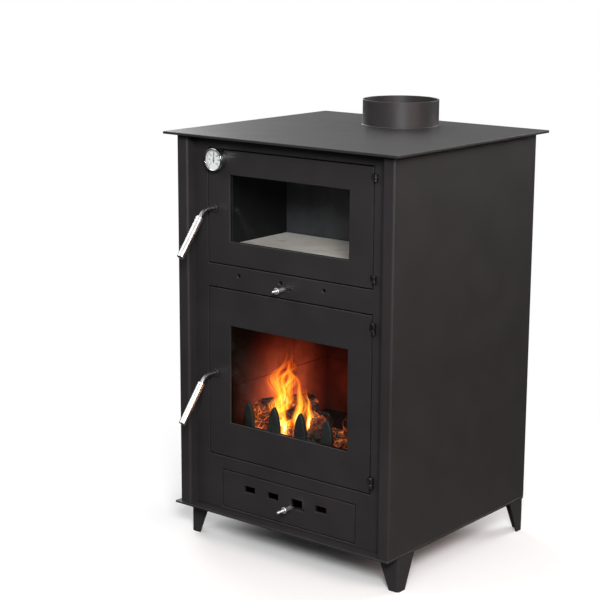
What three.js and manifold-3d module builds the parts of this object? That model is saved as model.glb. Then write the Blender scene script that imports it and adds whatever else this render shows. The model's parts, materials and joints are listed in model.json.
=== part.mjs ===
// Wood stove with an oven above the firebox: folded steel body on four legs, two glazed doors,
// an ash drawer with its air slide, and a flue collar on top.
// Millimetres. X runs to the right, Y to the back and Z up. Inside the stove's own frame the
// origin is at the middle of the width, on the front face of the side panels' folded flanges,
// at the underside of the base plate. The finished group is then stood on its footprint.

import * as THREE from 'three';
import { mergeVertices } from 'three/addons/utils/BufferGeometryUtils.js';
import Module from 'manifold-3d';

const wasm = await Module();
wasm.setup();

// Body
const bodyDepth = 461;
const sheet = 3;
const seat = 0.3;
const overrun = 2;
const flangeWidth = 27;
const bendRadius = 5;
const returnDepth = 36;
const panelRecess = 22;
const panelThickness = 4;
const topThickness = 5;
const topOverhang = 18;
const baseThickness = 4;
const baseLipLeft = 11;
const baseLipFront = 3;

// Flue collar
const collarDiameter = 150;
const collarWall = 3;
const collarRise = 50;
const collarFromBack = 89.5;
const collarSkirt = 10;
const collarFlange = 10;
const collarFlangeThickness = 4;
const collarClearance = 0.5;

// Legs
const legHeight = 66;
const legTopWidth = 48;
const legFootWidth = 21;
const legThickness = 3;
const legSetback = 32;
const legBend = 6;

// Doors
const doorWidth = 387;
const doorSideRail = 34.5;
const headRail = 25.2;
const doorRail = 49.1;
const sillRail = 29.9;
const doorThickness = 4;
const doorGap = 2.5;
const ovenDoorHeight = 216.5;
const fireDoorHeight = 331.3;
const windowStile = 52;
const ovenWindowSill = 43.9;
const ovenWindowHead = 45;
const fireWindowSill = 68.6;
const fireWindowHead = 69.8;
const glassThickness = 4;
const glassMargin = 12;
const retainerThickness = 2;
const retainerMargin = 22;
const sealWidth = 6.5;
const sealDepth = 8.7;
const sealInset = 1;

// Rebated frames that the doors close on
const frameWall = 5;
const frameLap = 8;
const frameWeb = 4;

// Door hinges
const hingeAxisOut = 8.5;
const hingeAxisForward = 5;
const hingeRadius = 4;
const hingePinRadius = 2;
const hingeClearance = 0.3;
const hingeStrap = 1.9;
const ovenHingeHeight = 14;
const fireHingeHeight = 22;
const ovenHingeInset = 18;
const fireHingeInset = 22;
const hingeLowerShare = 0.4;

// Handles
const handleFromDoorEdge = 16.5;
const ovenHandleShare = 0.4882;
const fireHandleShare = 0.4953;
const handleRodRadius = 4;
const handleReach = 32.6;
const handleBendRadius = 14;
const handleDropDegrees = 51.3;
const handleNeck = 16.6;
const gripLength = 88;
const gripRadius = 7;
const gripSocket = 30;
const gripChamfer = 0.8;
const bushRadius = 8;
const bushRise = 4;
const tongueReach = 17;
const tongueTipRadius = 2;
const tongueHubRadius = 6;
const tongueThickness = 4;
const tongueLeanDegrees = 75;
const tongueFromFrame = 0.5;
const rodTail = 1.5;

// Oven
const ovenBeyondDoor = 6.5;
const ovenInnerDepth = 223;
const ovenShortOfDoor = 13.5;
const stoneThickness = 15;
const stoneClearance = 1.5;

// Thermometer
const thermometerFromDoorEdge = 25.5;
const thermometerFromDoorTop = 17.8;
const thermometerRadius = 21;
const thermometerDepth = 17;
const thermometerWall = 1;
const bezelWidth = 2;
const bezelDepth = 3;
const dialThickness = 0.8;
const dialFromFront = 4;
const stemRadius = 4;
const stemReach = 34;
const nutRadius = 8;
const nutThickness = 4;
const needleLength = 14;
const needleTail = 5;
const needleWidth = 1.6;
const needleThickness = 0.6;
const needleHub = 2;
const needlePinRadius = 0.8;
const lensThickness = 1;

// Firebox
const hearthBelowDoor = 9.9;
const hearthThickness = 8;
const brickThickness = 30;
const brickAboveDoor = 5.1;
const brickFromFront = 42;
const gratePocketWidth = 224;
const gratePocketDepth = 200;
const grateFromFront = 150;
const grateThickness = 5;
const grateLedge = 8;
const grateClearance = 1;
const grateSlots = 7;
const grateSlotWidth = 12;
const grateMargin = 16;
const baffleThickness = 5;
const baffleDepth = 285;
const guardFromFront = 42;
const guardThickness = 8;
const guardFootDepth = 22;
const guardFootHeight = 8;
const guardRailHeight = 30;
const guardHeight = 122;
const fingerWidth = 27;
const fingerPitch = 64;
const fingerCount = 4;
const guardOffset = -19;
const guardMargin = 25;

// Ash drawer and its air slide
const drawerWidth = 322;
const drawerLow = 10.5;
const drawerHeight = 73.5;
const drawerThickness = 4;
const drawerGap = 2;
const panInset = 11;
const panDepth = 300;
const panShortOfFront = 11.5;
const panFrontHeight = 26;
const panWall = 2;
const panFloorRise = 1.5;
const airSlotWidth = 27;
const airSlotHeight = 13;
const airSlotPitch = 58.3;
const airSlotCount = 4;
const airSlotCentre = -6;
const airSlotRise = 46;
const slideThickness = 2;
const slideMargin = 12;
const airTravel = 28;
const drawerKnobX = 12.3;
const drawerKnobRise = 35.5;
const runnerWidth = 18;
const runnerHeight = 5;
const runnerLip = 4;
const runnerLipHeight = 26;
const runnerFromFront = 30;
const runnerLength = 330;

// Second air slide in the rail between the doors
const railHoleRadius = 4;
const railHolePitch = 102;
const railHoleCount = 3;
const railHoleCentre = -17;
const railHoleRiseShare = 0.111;
const railSlideClearance = 3.05;
const railTravel = 12;
const railKnobX = -7;
const railKnobDropShare = 0.0866;

// Chrome knobs of both slides
const knobStudRadius = 2.2;
const knobSleeveRadius = 4.2;
const knobSleeveLength = 21;
const knobDiscRadius = 7;
const knobDiscThickness = 2.5;
const knobRoot = 1.5;
const drawerKnobLength = 43;
const railKnobLength = 35;
const knobSlotClearance = 0.8;

// Facets round the turned pieces
const fineFacets = 48;
const plainFacets = 24;
const smallFacets = 12;
const bendFacets = 4;

// Places worked out from the sizes above
const fireDoorLow = drawerLow + drawerHeight + sillRail;
const ovenDoorLow = fireDoorLow + fireDoorHeight + doorRail;
const bodyHeight = ovenDoorLow + ovenDoorHeight + headRail;
const flangeInner = doorWidth / 2 + doorSideRail;
const halfWidth = flangeInner + flangeWidth;
const panelFront = panelRecess;
const panelBack = panelFront + panelThickness;
const wallLow = baseThickness + seat;
const wallHigh = bodyHeight - seat;
const doorHalf = doorWidth / 2;
const doorBack = panelFront + doorThickness;
const glassFront = doorBack + seat;
const retainerFront = glassFront + glassThickness + seat;
const sealFront = doorBack + seat;
const frameFront = panelBack + seat;
const webFront = sealFront + sealDepth + seat;
const frameBack = webFront + frameWeb;
const hearthTop = fireDoorLow - hearthBelowDoor;
const hearthHeight = hearthTop - hearthThickness;
const hingeX = doorHalf + hingeAxisOut;
const hingeY = panelFront - hingeAxisForward;
const handleX = handleFromDoorEdge - doorHalf;
const knobSlotHeight = 2 * (knobStudRadius + knobSlotClearance);
const ovenHandleHeight = ovenDoorLow + ovenHandleShare * ovenDoorHeight;
const fireHandleHeight = fireDoorLow + fireHandleShare * fireDoorHeight;
const ovenInnerWidth = doorWidth + 2 * ovenBeyondDoor;
const ovenInnerHeight = ovenDoorHeight - ovenShortOfDoor;
const panWidth = drawerWidth - 2 * panInset;
const panHeight = drawerHeight - panShortOfFront;
const railMiddle = ovenDoorLow - doorRail / 2;
const railHoleHeight = railMiddle + railHoleRiseShare * doorRail;
const railKnobHeight = railMiddle - railKnobDropShare * doorRail;
const railSlideHeight = doorRail - 2 * (doorGap + frameWall + railSlideClearance);
const railSlideLow = railMiddle - railSlideHeight / 2;

// A rectangle in the stove's upright X, Z plane
function rectangle(left, right, low, high) {
  return { left, right, low, high };
}

function grown(rect, margin) {
  return rectangle(rect.left - margin, rect.right + margin, rect.low - margin, rect.high + margin);
}

function centred(width, low, height) {
  return rectangle(-width / 2, width / 2, low, low + height);
}

// A door's window, inside its two stiles, its sill and its head
function windowIn(door, sill, head) {
  return rectangle(door.left + windowStile, door.right - windowStile, door.low + sill, door.high - head);
}

const ovenDoor = centred(doorWidth, ovenDoorLow, ovenDoorHeight);
const fireDoor = centred(doorWidth, fireDoorLow, fireDoorHeight);
const ovenWindow = windowIn(ovenDoor, ovenWindowSill, ovenWindowHead);
const fireWindow = windowIn(fireDoor, fireWindowSill, fireWindowHead);
const drawerFront = centred(drawerWidth, drawerLow, drawerHeight);

// Triangles with two equal corners are dropped, and a profile that was drawn the other way round
// is turned so that its faces look outward
function tidied(geometry) {
  const bare = geometry.clone();
  bare.deleteAttribute('normal');
  bare.deleteAttribute('uv');
  const merged = mergeVertices(bare);
  const index = merged.index.array;
  const place = merged.attributes.position;
  const corners = [new THREE.Vector3(), new THREE.Vector3(), new THREE.Vector3()];
  const kept = [];
  let volume = 0;
  for (let i = 0; i < index.length; i += 3) {
    const [a, b, c] = [index[i], index[i + 1], index[i + 2]];
    if (a !== b && b !== c && c !== a) {
      kept.push(a, b, c);
      corners.forEach((corner, k) => corner.fromBufferAttribute(place, index[i + k]));
      volume += corners[0].dot(corners[1].cross(corners[2]));
    }
  }
  merged.setIndex(volume < 0 ? kept.reverse() : kept);
  return merged;
}

function toSolid(geometry) {
  const ready = tidied(geometry);
  const mesh = new wasm.Mesh({
    numProp: 3,
    vertProperties: new Float32Array(ready.attributes.position.array),
    triVerts: new Uint32Array(ready.index.array),
  });
  return new wasm.Manifold(mesh);
}

function toGeometry(solid) {
  const mesh = solid.getMesh();
  const geometry = new THREE.BufferGeometry();
  geometry.setAttribute('position', new THREE.BufferAttribute(new Float32Array(mesh.vertProperties), 3));
  geometry.setIndex(new THREE.BufferAttribute(new Uint32Array(mesh.triVerts), 1));
  geometry.computeVertexNormals();
  return geometry;
}

function join(...geometries) {
  return toGeometry(geometries.map(toSolid).reduce((whole, next) => whole.add(next)));
}

function cut(body, ...tools) {
  return toGeometry(tools.map(toSolid).reduce((whole, tool) => whole.subtract(tool), toSolid(body)));
}

function common(...geometries) {
  return toGeometry(geometries.map(toSolid).reduce((whole, next) => whole.intersect(next)));
}

function mirrored(geometry) {
  return tidied(geometry.clone().scale(-1, 1, 1));
}

// A box between two corners
function block(x0, x1, y0, y1, z0, z1) {
  const box = new THREE.BoxGeometry(x1 - x0, y1 - y0, z1 - z0);
  return box.translate((x0 + x1) / 2, (y0 + y1) / 2, (z0 + z1) / 2);
}

function rectangleBlock(rect, y0, y1) {
  return block(rect.left, rect.right, y0, y1, rect.low, rect.high);
}

// A flat ring between two rectangles
function ringBlock(outer, inner, y0, y1) {
  return cut(rectangleBlock(outer, y0, y1), rectangleBlock(inner, y0 - overrun, y1 + overrun));
}

// A shape drawn in X and Z, given its thickness towards the back
function uprightPlate(shape, y0, thickness) {
  const options = { depth: thickness, bevelEnabled: false, curveSegments: smallFacets };
  const plate = new THREE.ExtrudeGeometry(shape, options);
  return plate.rotateX(Math.PI / 2).translate(0, y0 + thickness, 0);
}

// A shape drawn in X and Y, raised from one height to another
function raised(shape, z0, z1) {
  const options = { depth: z1 - z0, bevelEnabled: false, curveSegments: bendFacets };
  return new THREE.ExtrudeGeometry(shape, options).translate(0, 0, z0);
}

// Round bars that lie along Y or stand along Z
function barAlongY(radius, y0, y1, x, z, facets = plainFacets) {
  const bar = new THREE.CylinderGeometry(radius, radius, y1 - y0, facets);
  return bar.translate(x, (y0 + y1) / 2, z);
}

function barAlongZ(radius, z0, z1, x, y, facets = plainFacets) {
  const bar = new THREE.CylinderGeometry(radius, radius, z1 - z0, facets);
  return bar.rotateX(Math.PI / 2).translate(x, y, (z0 + z1) / 2);
}

// A turned piece whose axis runs along Y, from pairs of radius and place
function turned(pairs, x, z, facets = plainFacets) {
  const points = pairs.map(([radius, y]) => new THREE.Vector2(radius, y));
  return new THREE.LatheGeometry(points, facets).translate(x, 0, z);
}

// A slot with round ends, cut through a plate
function slotCutter(x, z, length, height, y0, y1) {
  const r = height / 2;
  const middle = block(x - length / 2 + r, x + length / 2 - r, y0, y1, z - r, z + r);
  const left = barAlongY(r, y0, y1, x - length / 2 + r, z, smallFacets);
  const right = barAlongY(r, y0, y1, x + length / 2 - r, z, smallFacets);
  return join(middle, left, right);
}

const finishes = {
  paint: { color: 0x2e2e30, roughness: 0.55, metalness: 0.35 },
  paintInside: { color: 0x232325, roughness: 0.75, metalness: 0.2 },
  castIron: { color: 0x2a2a2b, roughness: 0.7, metalness: 0.6 },
  steel: { color: 0xb9bbbd, roughness: 0.3, metalness: 1 },
  chrome: { color: 0xe4e6e8, roughness: 0.12, metalness: 1 },
  glass: { color: 0x20262b, roughness: 0.05, metalness: 0, transparent: true, opacity: 0.35 },
  stone: { color: 0xcbb99c, roughness: 0.95, metalness: 0 },
  brick: { color: 0x8f8270, roughness: 0.95, metalness: 0 },
  rope: { color: 0x4a4a4a, roughness: 1, metalness: 0 },
  dial: { color: 0xeeece4, roughness: 0.6, metalness: 0 },
  needle: { color: 0x15151a, roughness: 0.5, metalness: 0 },
};

function piece(name, geometry, finish) {
  const mesh = new THREE.Mesh(toGeometry(toSolid(geometry)), new THREE.MeshStandardMaterial(finishes[finish]));
  mesh.name = name;
  return mesh;
}

function assembly(...pieces) {
  const group = new THREE.Group();
  group.add(...pieces);
  return group;
}

// Side panel: one folded sheet with a front flange and a return that holds the front panel
function sidePanel() {
  const outer = halfWidth;
  const inner = flangeInner;
  const r = bendRadius;
  const inside = bendRadius - sheet;
  const quarter = Math.PI / 2;
  const plan = new THREE.Shape();
  plan.moveTo(outer, bodyDepth);
  plan.lineTo(outer - sheet, bodyDepth);
  plan.lineTo(outer - sheet, r);
  plan.absarc(outer - r, r, inside, 0, -quarter, true);
  plan.lineTo(inner + r, sheet);
  plan.absarc(inner + r, r, inside, -quarter, -2 * quarter, true);
  plan.lineTo(inner + sheet, returnDepth);
  plan.lineTo(inner, returnDepth);
  plan.lineTo(inner, r);
  plan.absarc(inner + r, r, r, 2 * quarter, 3 * quarter, false);
  plan.lineTo(outer - r, 0);
  plan.absarc(outer - r, r, r, -quarter, 0, false);
  plan.closePath();
  return raised(plan, wallLow, wallHigh);
}

function backPanel() {
  const side = halfWidth - sheet - seat;
  return block(-side, side, bodyDepth - sheet, bodyDepth, wallLow, wallHigh);
}

function topPlate() {
  const side = halfWidth + topOverhang;
  const slab = block(-side, side, -topOverhang, bodyDepth + topOverhang, bodyHeight, bodyHeight + topThickness);
  const radius = collarDiameter / 2 + collarClearance;
  const back = bodyDepth - collarFromBack;
  const hole = barAlongZ(radius, bodyHeight - overrun, bodyHeight + topThickness + overrun, 0, back, fineFacets);
  return cut(slab, hole);
}

// Flue collar: a tube through the top plate, with a flange that bears on the plate's underside
function flueCollar() {
  const outer = collarDiameter / 2;
  const inner = outer - collarWall;
  const flangeTop = bodyHeight - seat;
  const flangeLow = flangeTop - collarFlangeThickness;
  const low = flangeLow - collarSkirt;
  const top = bodyHeight + topThickness + collarRise;
  const profile = [
    [inner, low],
    [outer, low],
    [outer, flangeLow],
    [outer + collarFlange, flangeLow],
    [outer + collarFlange, flangeTop],
    [outer, flangeTop],
    [outer, top],
    [inner, top],
    [inner, low],
  ];
  const points = profile.map(([radius, height]) => new THREE.Vector2(radius, height));
  const ring = new THREE.LatheGeometry(points, fineFacets);
  return ring.rotateX(Math.PI / 2).translate(0, bodyDepth - collarFromBack, 0);
}

function basePlate() {
  return block(-halfWidth - baseLipLeft, halfWidth, -baseLipFront, bodyDepth, 0, baseThickness);
}

// Leg: a folded angle that tapers to its foot, with a pad under the base plate.
// It is drawn as the front leg on the right, with its corner edge on the outside.
function leg() {
  const cornerX = halfWidth;
  const cornerY = legSetback;
  const r = legBend;
  const t = legThickness;
  const low = -legHeight;
  const high = -seat;
  const plan = new THREE.Shape();
  plan.moveTo(cornerX, cornerY + legTopWidth);
  plan.lineTo(cornerX - t, cornerY + legTopWidth);
  plan.lineTo(cornerX - t, cornerY + r);
  plan.absarc(cornerX - r, cornerY + r, r - t, 0, -Math.PI / 2, true);
  plan.lineTo(cornerX - legTopWidth, cornerY + t);
  plan.lineTo(cornerX - legTopWidth, cornerY);
  plan.lineTo(cornerX - r, cornerY);
  plan.absarc(cornerX - r, cornerY + r, r, -Math.PI / 2, 0, false);
  plan.closePath();
  const angle = raised(plan, low, high);
  const padTool = raised(legPad(), high - t, high);
  const taper = new THREE.Shape();
  taper.moveTo(overrun, high);
  taper.lineTo(-legTopWidth, high);
  taper.lineTo(-legFootWidth, low);
  taper.lineTo(overrun, low);
  taper.closePath();
  const side = uprightPlate(taper, cornerY - overrun, legTopWidth + 2 * overrun).translate(cornerX, 0, 0);
  const front = uprightPlate(taper, 0, legTopWidth + 2 * overrun);
  front.rotateZ(-Math.PI / 2).translate(cornerX - legTopWidth - overrun, cornerY, 0);
  return join(common(angle, side, front), padTool);
}

function legPad() {
  const inset = legBend;
  const pad = new THREE.Shape();
  pad.moveTo(halfWidth - inset + legThickness, legSetback + inset - legThickness);
  pad.lineTo(halfWidth - inset + legThickness, legSetback + legTopWidth - inset);
  pad.lineTo(halfWidth - legTopWidth + inset, legSetback + inset - legThickness);
  pad.closePath();
  return pad;
}

function rearLeg() {
  return tidied(leg().scale(1, -1, 1).translate(0, legSetback + bodyDepth, 0));
}

// Front panel: one recessed sheet with openings for both doors, the drawer and the air holes
function frontPanel() {
  const side = flangeInner - seat;
  const y0 = panelFront - overrun;
  const y1 = panelBack + overrun;
  const openings = [grown(ovenDoor, doorGap), grown(fireDoor, doorGap), grown(drawerFront, drawerGap)];
  const tools = openings.map((rect) => rectangleBlock(rect, y0, y1));
  for (let i = 0; i < railHoleCount; i += 1) {
    const x = railHoleCentre + (i - (railHoleCount - 1) / 2) * railHolePitch;
    tools.push(barAlongY(railHoleRadius, y0, y1, x, railHoleHeight, plainFacets));
  }
  const slotLength = railTravel + knobSlotHeight;
  tools.push(slotCutter(railKnobX + railTravel / 2, railKnobHeight, slotLength, knobSlotHeight, y0, y1));
  return cut(block(-side, side, panelFront, panelBack, wallLow, wallHigh), ...tools);
}

// Rebated frame behind the front panel: its web is what a door's seal presses on
function doorFrame(door) {
  const rebate = grown(door, doorGap);
  const outer = grown(rebate, frameWall);
  const mouth = grown(door, -frameLap);
  const wall = ringBlock(outer, rebate, frameFront, frameBack);
  const web = ringBlock(outer, mouth, webFront, frameBack);
  return join(wall, web);
}

function ovenBox() {
  const low = ovenDoor.low + frameLap - sheet + seat;
  const front = frameBack + seat;
  const inner = rectangle(-ovenInnerWidth / 2, ovenInnerWidth / 2, low + sheet, low + sheet + ovenInnerHeight);
  const hollow = rectangleBlock(inner, front - overrun, front + ovenInnerDepth);
  return cut(rectangleBlock(grown(inner, sheet), front, front + ovenInnerDepth + sheet), hollow);
}

function ovenStone() {
  const low = ovenDoor.low + frameLap + 2 * seat;
  const front = frameBack + seat + stoneClearance;
  const side = ovenInnerWidth / 2 - stoneClearance;
  const back = frameBack + seat + ovenInnerDepth - stoneClearance;
  return block(-side, side, front, back, low, low + stoneThickness);
}

// Door plate with its window, the holes for the handle's rod and, on the oven, the thermometer
function doorPlate(door, window, holes) {
  const y0 = panelFront - overrun;
  const y1 = doorBack + overrun;
  const tools = holes.map(({ x, z, radius }) => barAlongY(radius, y0, y1, x, z));
  return cut(rectangleBlock(door, panelFront, doorBack), rectangleBlock(window, y0, y1), ...tools);
}

function doorGlass(window) {
  return rectangleBlock(grown(window, glassMargin), glassFront, glassFront + glassThickness);
}

function glassRetainer(window) {
  const outer = grown(window, retainerMargin);
  return ringBlock(outer, window, retainerFront, retainerFront + retainerThickness);
}

function doorSeal(door) {
  const outer = grown(door, -sealInset);
  return ringBlock(outer, grown(outer, -sealWidth), sealFront, sealFront + sealDepth);
}

// Hinge: a fixed knuckle with its pin, and a sleeve on a strap along the door's edge
function hingePin(low, height) {
  const split = low + height * hingeLowerShare;
  const knuckle = barAlongZ(hingeRadius, low, split, hingeX, hingeY, smallFacets);
  const pin = barAlongZ(hingePinRadius, low, low + height - seat, hingeX, hingeY, smallFacets);
  const foot = block(hingeX - hingePinRadius, hingeX + hingePinRadius, hingeY, panelFront - seat, low, split);
  return join(knuckle, pin, foot);
}

function hingeSleeve(low, height) {
  const split = low + height * hingeLowerShare + seat;
  const sleeve = barAlongZ(hingeRadius, split, low + height, hingeX, hingeY, smallFacets);
  const strapLeft = doorHalf + seat;
  const strapRight = strapLeft + hingeStrap;
  const edge = block(strapLeft, strapRight, hingeY, doorBack, split, low + height);
  const web = block(strapLeft, hingeX, hingeY - hingeStrap / 2, hingeY + hingeStrap / 2, split, low + height);
  const bore = barAlongZ(hingePinRadius + hingeClearance, split - overrun, low + height + overrun, hingeX, hingeY, smallFacets);
  return cut(join(sleeve, web, edge), bore);
}

// Handle: a round rod that comes straight out of the door and bends down into its grip
function handleDirection() {
  const drop = THREE.MathUtils.degToRad(handleDropDegrees);
  return new THREE.Vector3(0, -Math.cos(drop), -Math.sin(drop));
}

function handleCorner(height) {
  return new THREE.Vector3(handleX, panelFront - handleReach, height);
}

function handleRod(height) {
  const corner = handleCorner(height);
  const direction = handleDirection();
  const back = new THREE.Vector3(handleX, frameBack + tongueFromFrame + tongueThickness + rodTail, height);
  const drop = THREE.MathUtils.degToRad(handleDropDegrees);
  const tangent = handleBendRadius * Math.tan(drop / 2);
  const bendStart = corner.clone().add(new THREE.Vector3(0, tangent, 0));
  const bendEnd = corner.clone().addScaledVector(direction, tangent);
  const end = corner.clone().addScaledVector(direction, handleNeck + gripSocket - seat);
  const path = new THREE.CurvePath();
  path.add(new THREE.LineCurve3(back, bendStart));
  path.add(new THREE.QuadraticBezierCurve3(bendStart, corner, bendEnd));
  path.add(new THREE.LineCurve3(bendEnd, end));
  const section = new THREE.Shape();
  section.absarc(0, 0, handleRodRadius, 0, 2 * Math.PI, false);
  const options = { steps: plainFacets, extrudePath: path, curveSegments: smallFacets };
  return new THREE.ExtrudeGeometry(section, options);
}

function handleGrip(height) {
  const bore = handleRodRadius + seat;
  const profile = [
    [0, gripLength],
    [gripRadius - gripChamfer, gripLength],
    [gripRadius, gripLength - gripChamfer],
    [gripRadius, gripChamfer],
    [gripRadius - gripChamfer, 0],
    [bore, 0],
    [bore, gripSocket],
    [0, gripSocket],
  ];
  const points = profile.map(([radius, along]) => new THREE.Vector2(radius, along));
  const grip = new THREE.LatheGeometry(points, plainFacets);
  const turn = new THREE.Quaternion().setFromUnitVectors(new THREE.Vector3(0, 1, 0), handleDirection());
  const start = handleCorner(height).addScaledVector(handleDirection(), handleNeck);
  return grip.applyQuaternion(turn).translate(start.x, start.y, start.z);
}

// Bush: the collar on the door that the rod turns in
function handleBush(height) {
  const bore = handleRodRadius + seat;
  const back = panelFront - seat;
  const profile = [
    [bore, back],
    [bore, back - bushRise],
    [bushRadius - gripChamfer, back - bushRise],
    [bushRadius, back - bushRise + gripChamfer],
    [bushRadius, back],
    [bore, back],
  ];
  return turned(profile, handleX, height);
}

// Latch tongue: a lean finger on the rod's inner end. Turned past the rest it draws the door shut.
function latchTongue(height) {
  const lean = THREE.MathUtils.degToRad(tongueLeanDegrees);
  const along = new THREE.Vector2(-Math.cos(lean), Math.sin(lean));
  const across = new THREE.Vector2(along.y, -along.x);
  const tip = along.clone().multiplyScalar(tongueReach);
  const outline = new THREE.Shape();
  const corners = [
    across.clone().multiplyScalar(tongueHubRadius),
    tip.clone().addScaledVector(across, tongueTipRadius),
    tip.clone().addScaledVector(across, -tongueTipRadius),
    across.clone().multiplyScalar(-tongueHubRadius),
  ];
  outline.setFromPoints(corners);
  const y0 = frameBack + tongueFromFrame;
  const finger = uprightPlate(outline, y0, tongueThickness).translate(handleX, 0, height);
  const hub = barAlongY(tongueHubRadius, y0, y0 + tongueThickness, handleX, height);
  const nose = barAlongY(tongueTipRadius, y0, y0 + tongueThickness, handleX + tip.x, height + tip.y, smallFacets);
  const bore = barAlongY(handleRodRadius + seat, y0 - overrun, y0 + tongueThickness + overrun, handleX, height);
  return cut(join(finger, hub, nose), bore);
}

// Thermometer on the oven door: a cup with its stem through the door, a dial, a needle and a lens
const thermometerX = thermometerFromDoorEdge - doorHalf;
const thermometerZ = ovenDoor.high - thermometerFromDoorTop;
const thermometerBack = panelFront - seat;
const thermometerFront = thermometerBack - thermometerDepth;
const dialFront = thermometerFront + dialFromFront;
const lensBack = dialFront - seat - needleThickness - 2 * seat;

function thermometerCase() {
  const inner = thermometerRadius - thermometerWall;
  const profile = [
    [0, thermometerBack + stemReach],
    [stemRadius, thermometerBack + stemReach],
    [stemRadius, thermometerBack],
    [thermometerRadius, thermometerBack],
    [thermometerRadius, thermometerFront + bezelDepth + seat],
    [inner, thermometerFront + bezelDepth + seat],
    [inner, thermometerBack - thermometerWall],
    [0, thermometerBack - thermometerWall],
  ];
  return turned(profile, thermometerX, thermometerZ, plainFacets);
}

function thermometerBezel() {
  const outer = thermometerRadius + thermometerWall;
  const sleeve = thermometerRadius + seat;
  const profile = [
    [thermometerRadius - bezelWidth, thermometerFront],
    [outer, thermometerFront],
    [outer, thermometerFront + 2 * bezelDepth],
    [sleeve, thermometerFront + 2 * bezelDepth],
    [sleeve, thermometerFront + thermometerWall],
    [thermometerRadius - bezelWidth, thermometerFront + thermometerWall],
    [thermometerRadius - bezelWidth, thermometerFront],
  ];
  return turned(profile, thermometerX, thermometerZ, plainFacets);
}

// The dial stands on a short boss in the cup and carries the needle's pin
function thermometerDial() {
  const rim = thermometerRadius - thermometerWall - seat;
  const profile = [
    [0, thermometerBack - thermometerWall - seat],
    [stemRadius, thermometerBack - thermometerWall - seat],
    [stemRadius, dialFront + dialThickness],
    [rim, dialFront + dialThickness],
    [rim, dialFront],
    [needlePinRadius, dialFront],
    [needlePinRadius, lensBack + seat],
    [0, lensBack + seat],
  ];
  return turned(profile, thermometerX, thermometerZ, plainFacets);
}

function thermometerNeedle() {
  const y1 = dialFront - seat;
  const y0 = y1 - needleThickness;
  const outline = new THREE.Shape();
  outline.moveTo(-needleWidth / 2, -needleTail);
  outline.lineTo(needleWidth / 2, -needleTail);
  outline.lineTo(needleWidth / 2, 0);
  outline.lineTo(0, needleLength);
  outline.lineTo(-needleWidth / 2, 0);
  outline.closePath();
  const blade = uprightPlate(outline, y0, needleThickness);
  const hub = barAlongY(needleHub, y0, y1, 0, 0, smallFacets);
  const bore = barAlongY(needlePinRadius + seat / 2, y0 - overrun, y1 + overrun, 0, 0, smallFacets);
  return cut(join(blade, hub), bore).translate(thermometerX, 0, thermometerZ);
}

function thermometerLens() {
  const radius = thermometerRadius - thermometerWall / 2;
  return barAlongY(radius, lensBack - lensThickness, lensBack, thermometerX, thermometerZ, plainFacets);
}

function thermometerNut() {
  const y0 = doorBack + seat;
  const nut = barAlongY(nutRadius, y0, y0 + nutThickness, thermometerX, thermometerZ, smallFacets / 2);
  const bore = barAlongY(stemRadius + seat, y0 - overrun, y0 + nutThickness + overrun, thermometerX, thermometerZ);
  return cut(nut, bore);
}

// Firebox: a hearth plate with a stepped pocket, the grate in it and three fire bricks
const grateFront = grateFromFront;
const grateBack = grateFromFront + gratePocketDepth;

function hearthPlate() {
  const side = halfWidth - sheet - seat;
  const half = gratePocketWidth / 2;
  const plate = block(-side, side, returnDepth + seat, bodyDepth - sheet - seat, hearthHeight, hearthTop);
  const pocketLow = hearthTop - grateThickness - seat;
  const pocket = block(-half, half, grateFront, grateBack, pocketLow, hearthTop + overrun);
  const through = block(
    grateLedge - half, half - grateLedge, grateFront + grateLedge, grateBack - grateLedge,
    hearthHeight - overrun, hearthTop,
  );
  return cut(plate, pocket, through);
}

function grate() {
  const half = gratePocketWidth / 2 - grateClearance;
  const y0 = grateFront + grateClearance;
  const y1 = grateBack - grateClearance;
  const pitch = (2 * half - 2 * grateMargin) / grateSlots;
  const tools = [];
  for (let i = 0; i < grateSlots; i += 1) {
    const x = -half + grateMargin + (i + 0.5) * pitch;
    const left = x - grateSlotWidth / 2;
    const right = x + grateSlotWidth / 2;
    const low = hearthTop - grateThickness - overrun;
    tools.push(block(left, right, y0 + grateMargin, y1 - grateMargin, low, hearthTop + overrun));
  }
  return cut(block(-half, half, y0, y1, hearthTop - grateThickness, hearthTop), ...tools);
}

const brickLow = hearthTop + seat;
const brickTop = fireDoor.high + brickAboveDoor;
const brickBackFace = bodyDepth - sheet - seat;

function sideBrick() {
  const outer = halfWidth - sheet - seat;
  return block(outer - brickThickness, outer, brickFromFront, brickBackFace - brickThickness - seat, brickLow, brickTop);
}

function backBrick() {
  const side = halfWidth - sheet - seat;
  return block(-side, side, brickBackFace - brickThickness, brickBackFace, brickLow, brickTop);
}

function bafflePlate() {
  const side = halfWidth - sheet - 2 * seat;
  const low = brickTop + seat;
  return block(-side, side, brickFromFront, brickFromFront + baffleDepth, low, low + baffleThickness);
}

// Log guard: a row of round-topped fingers on a rail and a foot
function logGuard() {
  const half = ((fingerCount - 1) * fingerPitch) / 2 + guardMargin;
  const low = hearthTop + seat;
  const radius = fingerWidth / 2;
  const outline = new THREE.Shape();
  outline.moveTo(-half, low);
  outline.lineTo(half, low);
  outline.lineTo(half, low + guardRailHeight);
  for (let i = fingerCount - 1; i >= 0; i -= 1) {
    const x = (i - (fingerCount - 1) / 2) * fingerPitch;
    const top = low + guardHeight;
    const shoulder = top - 2 * fingerWidth;
    outline.lineTo(x + radius, low + guardRailHeight);
    outline.lineTo(x + radius, shoulder);
    outline.quadraticCurveTo(x + radius, top - radius, x, top);
    outline.quadraticCurveTo(x - radius, top - radius, x - radius, shoulder);
    outline.lineTo(x - radius, low + guardRailHeight);
  }
  outline.lineTo(-half, low + guardRailHeight);
  outline.closePath();
  const wall = uprightPlate(outline, guardFromFront, guardThickness);
  const foot = block(-half, half, guardFromFront, guardFromFront + guardFootDepth, low, low + guardFootHeight);
  return join(wall, foot).translate(guardOffset, 0, 0);
}

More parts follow.
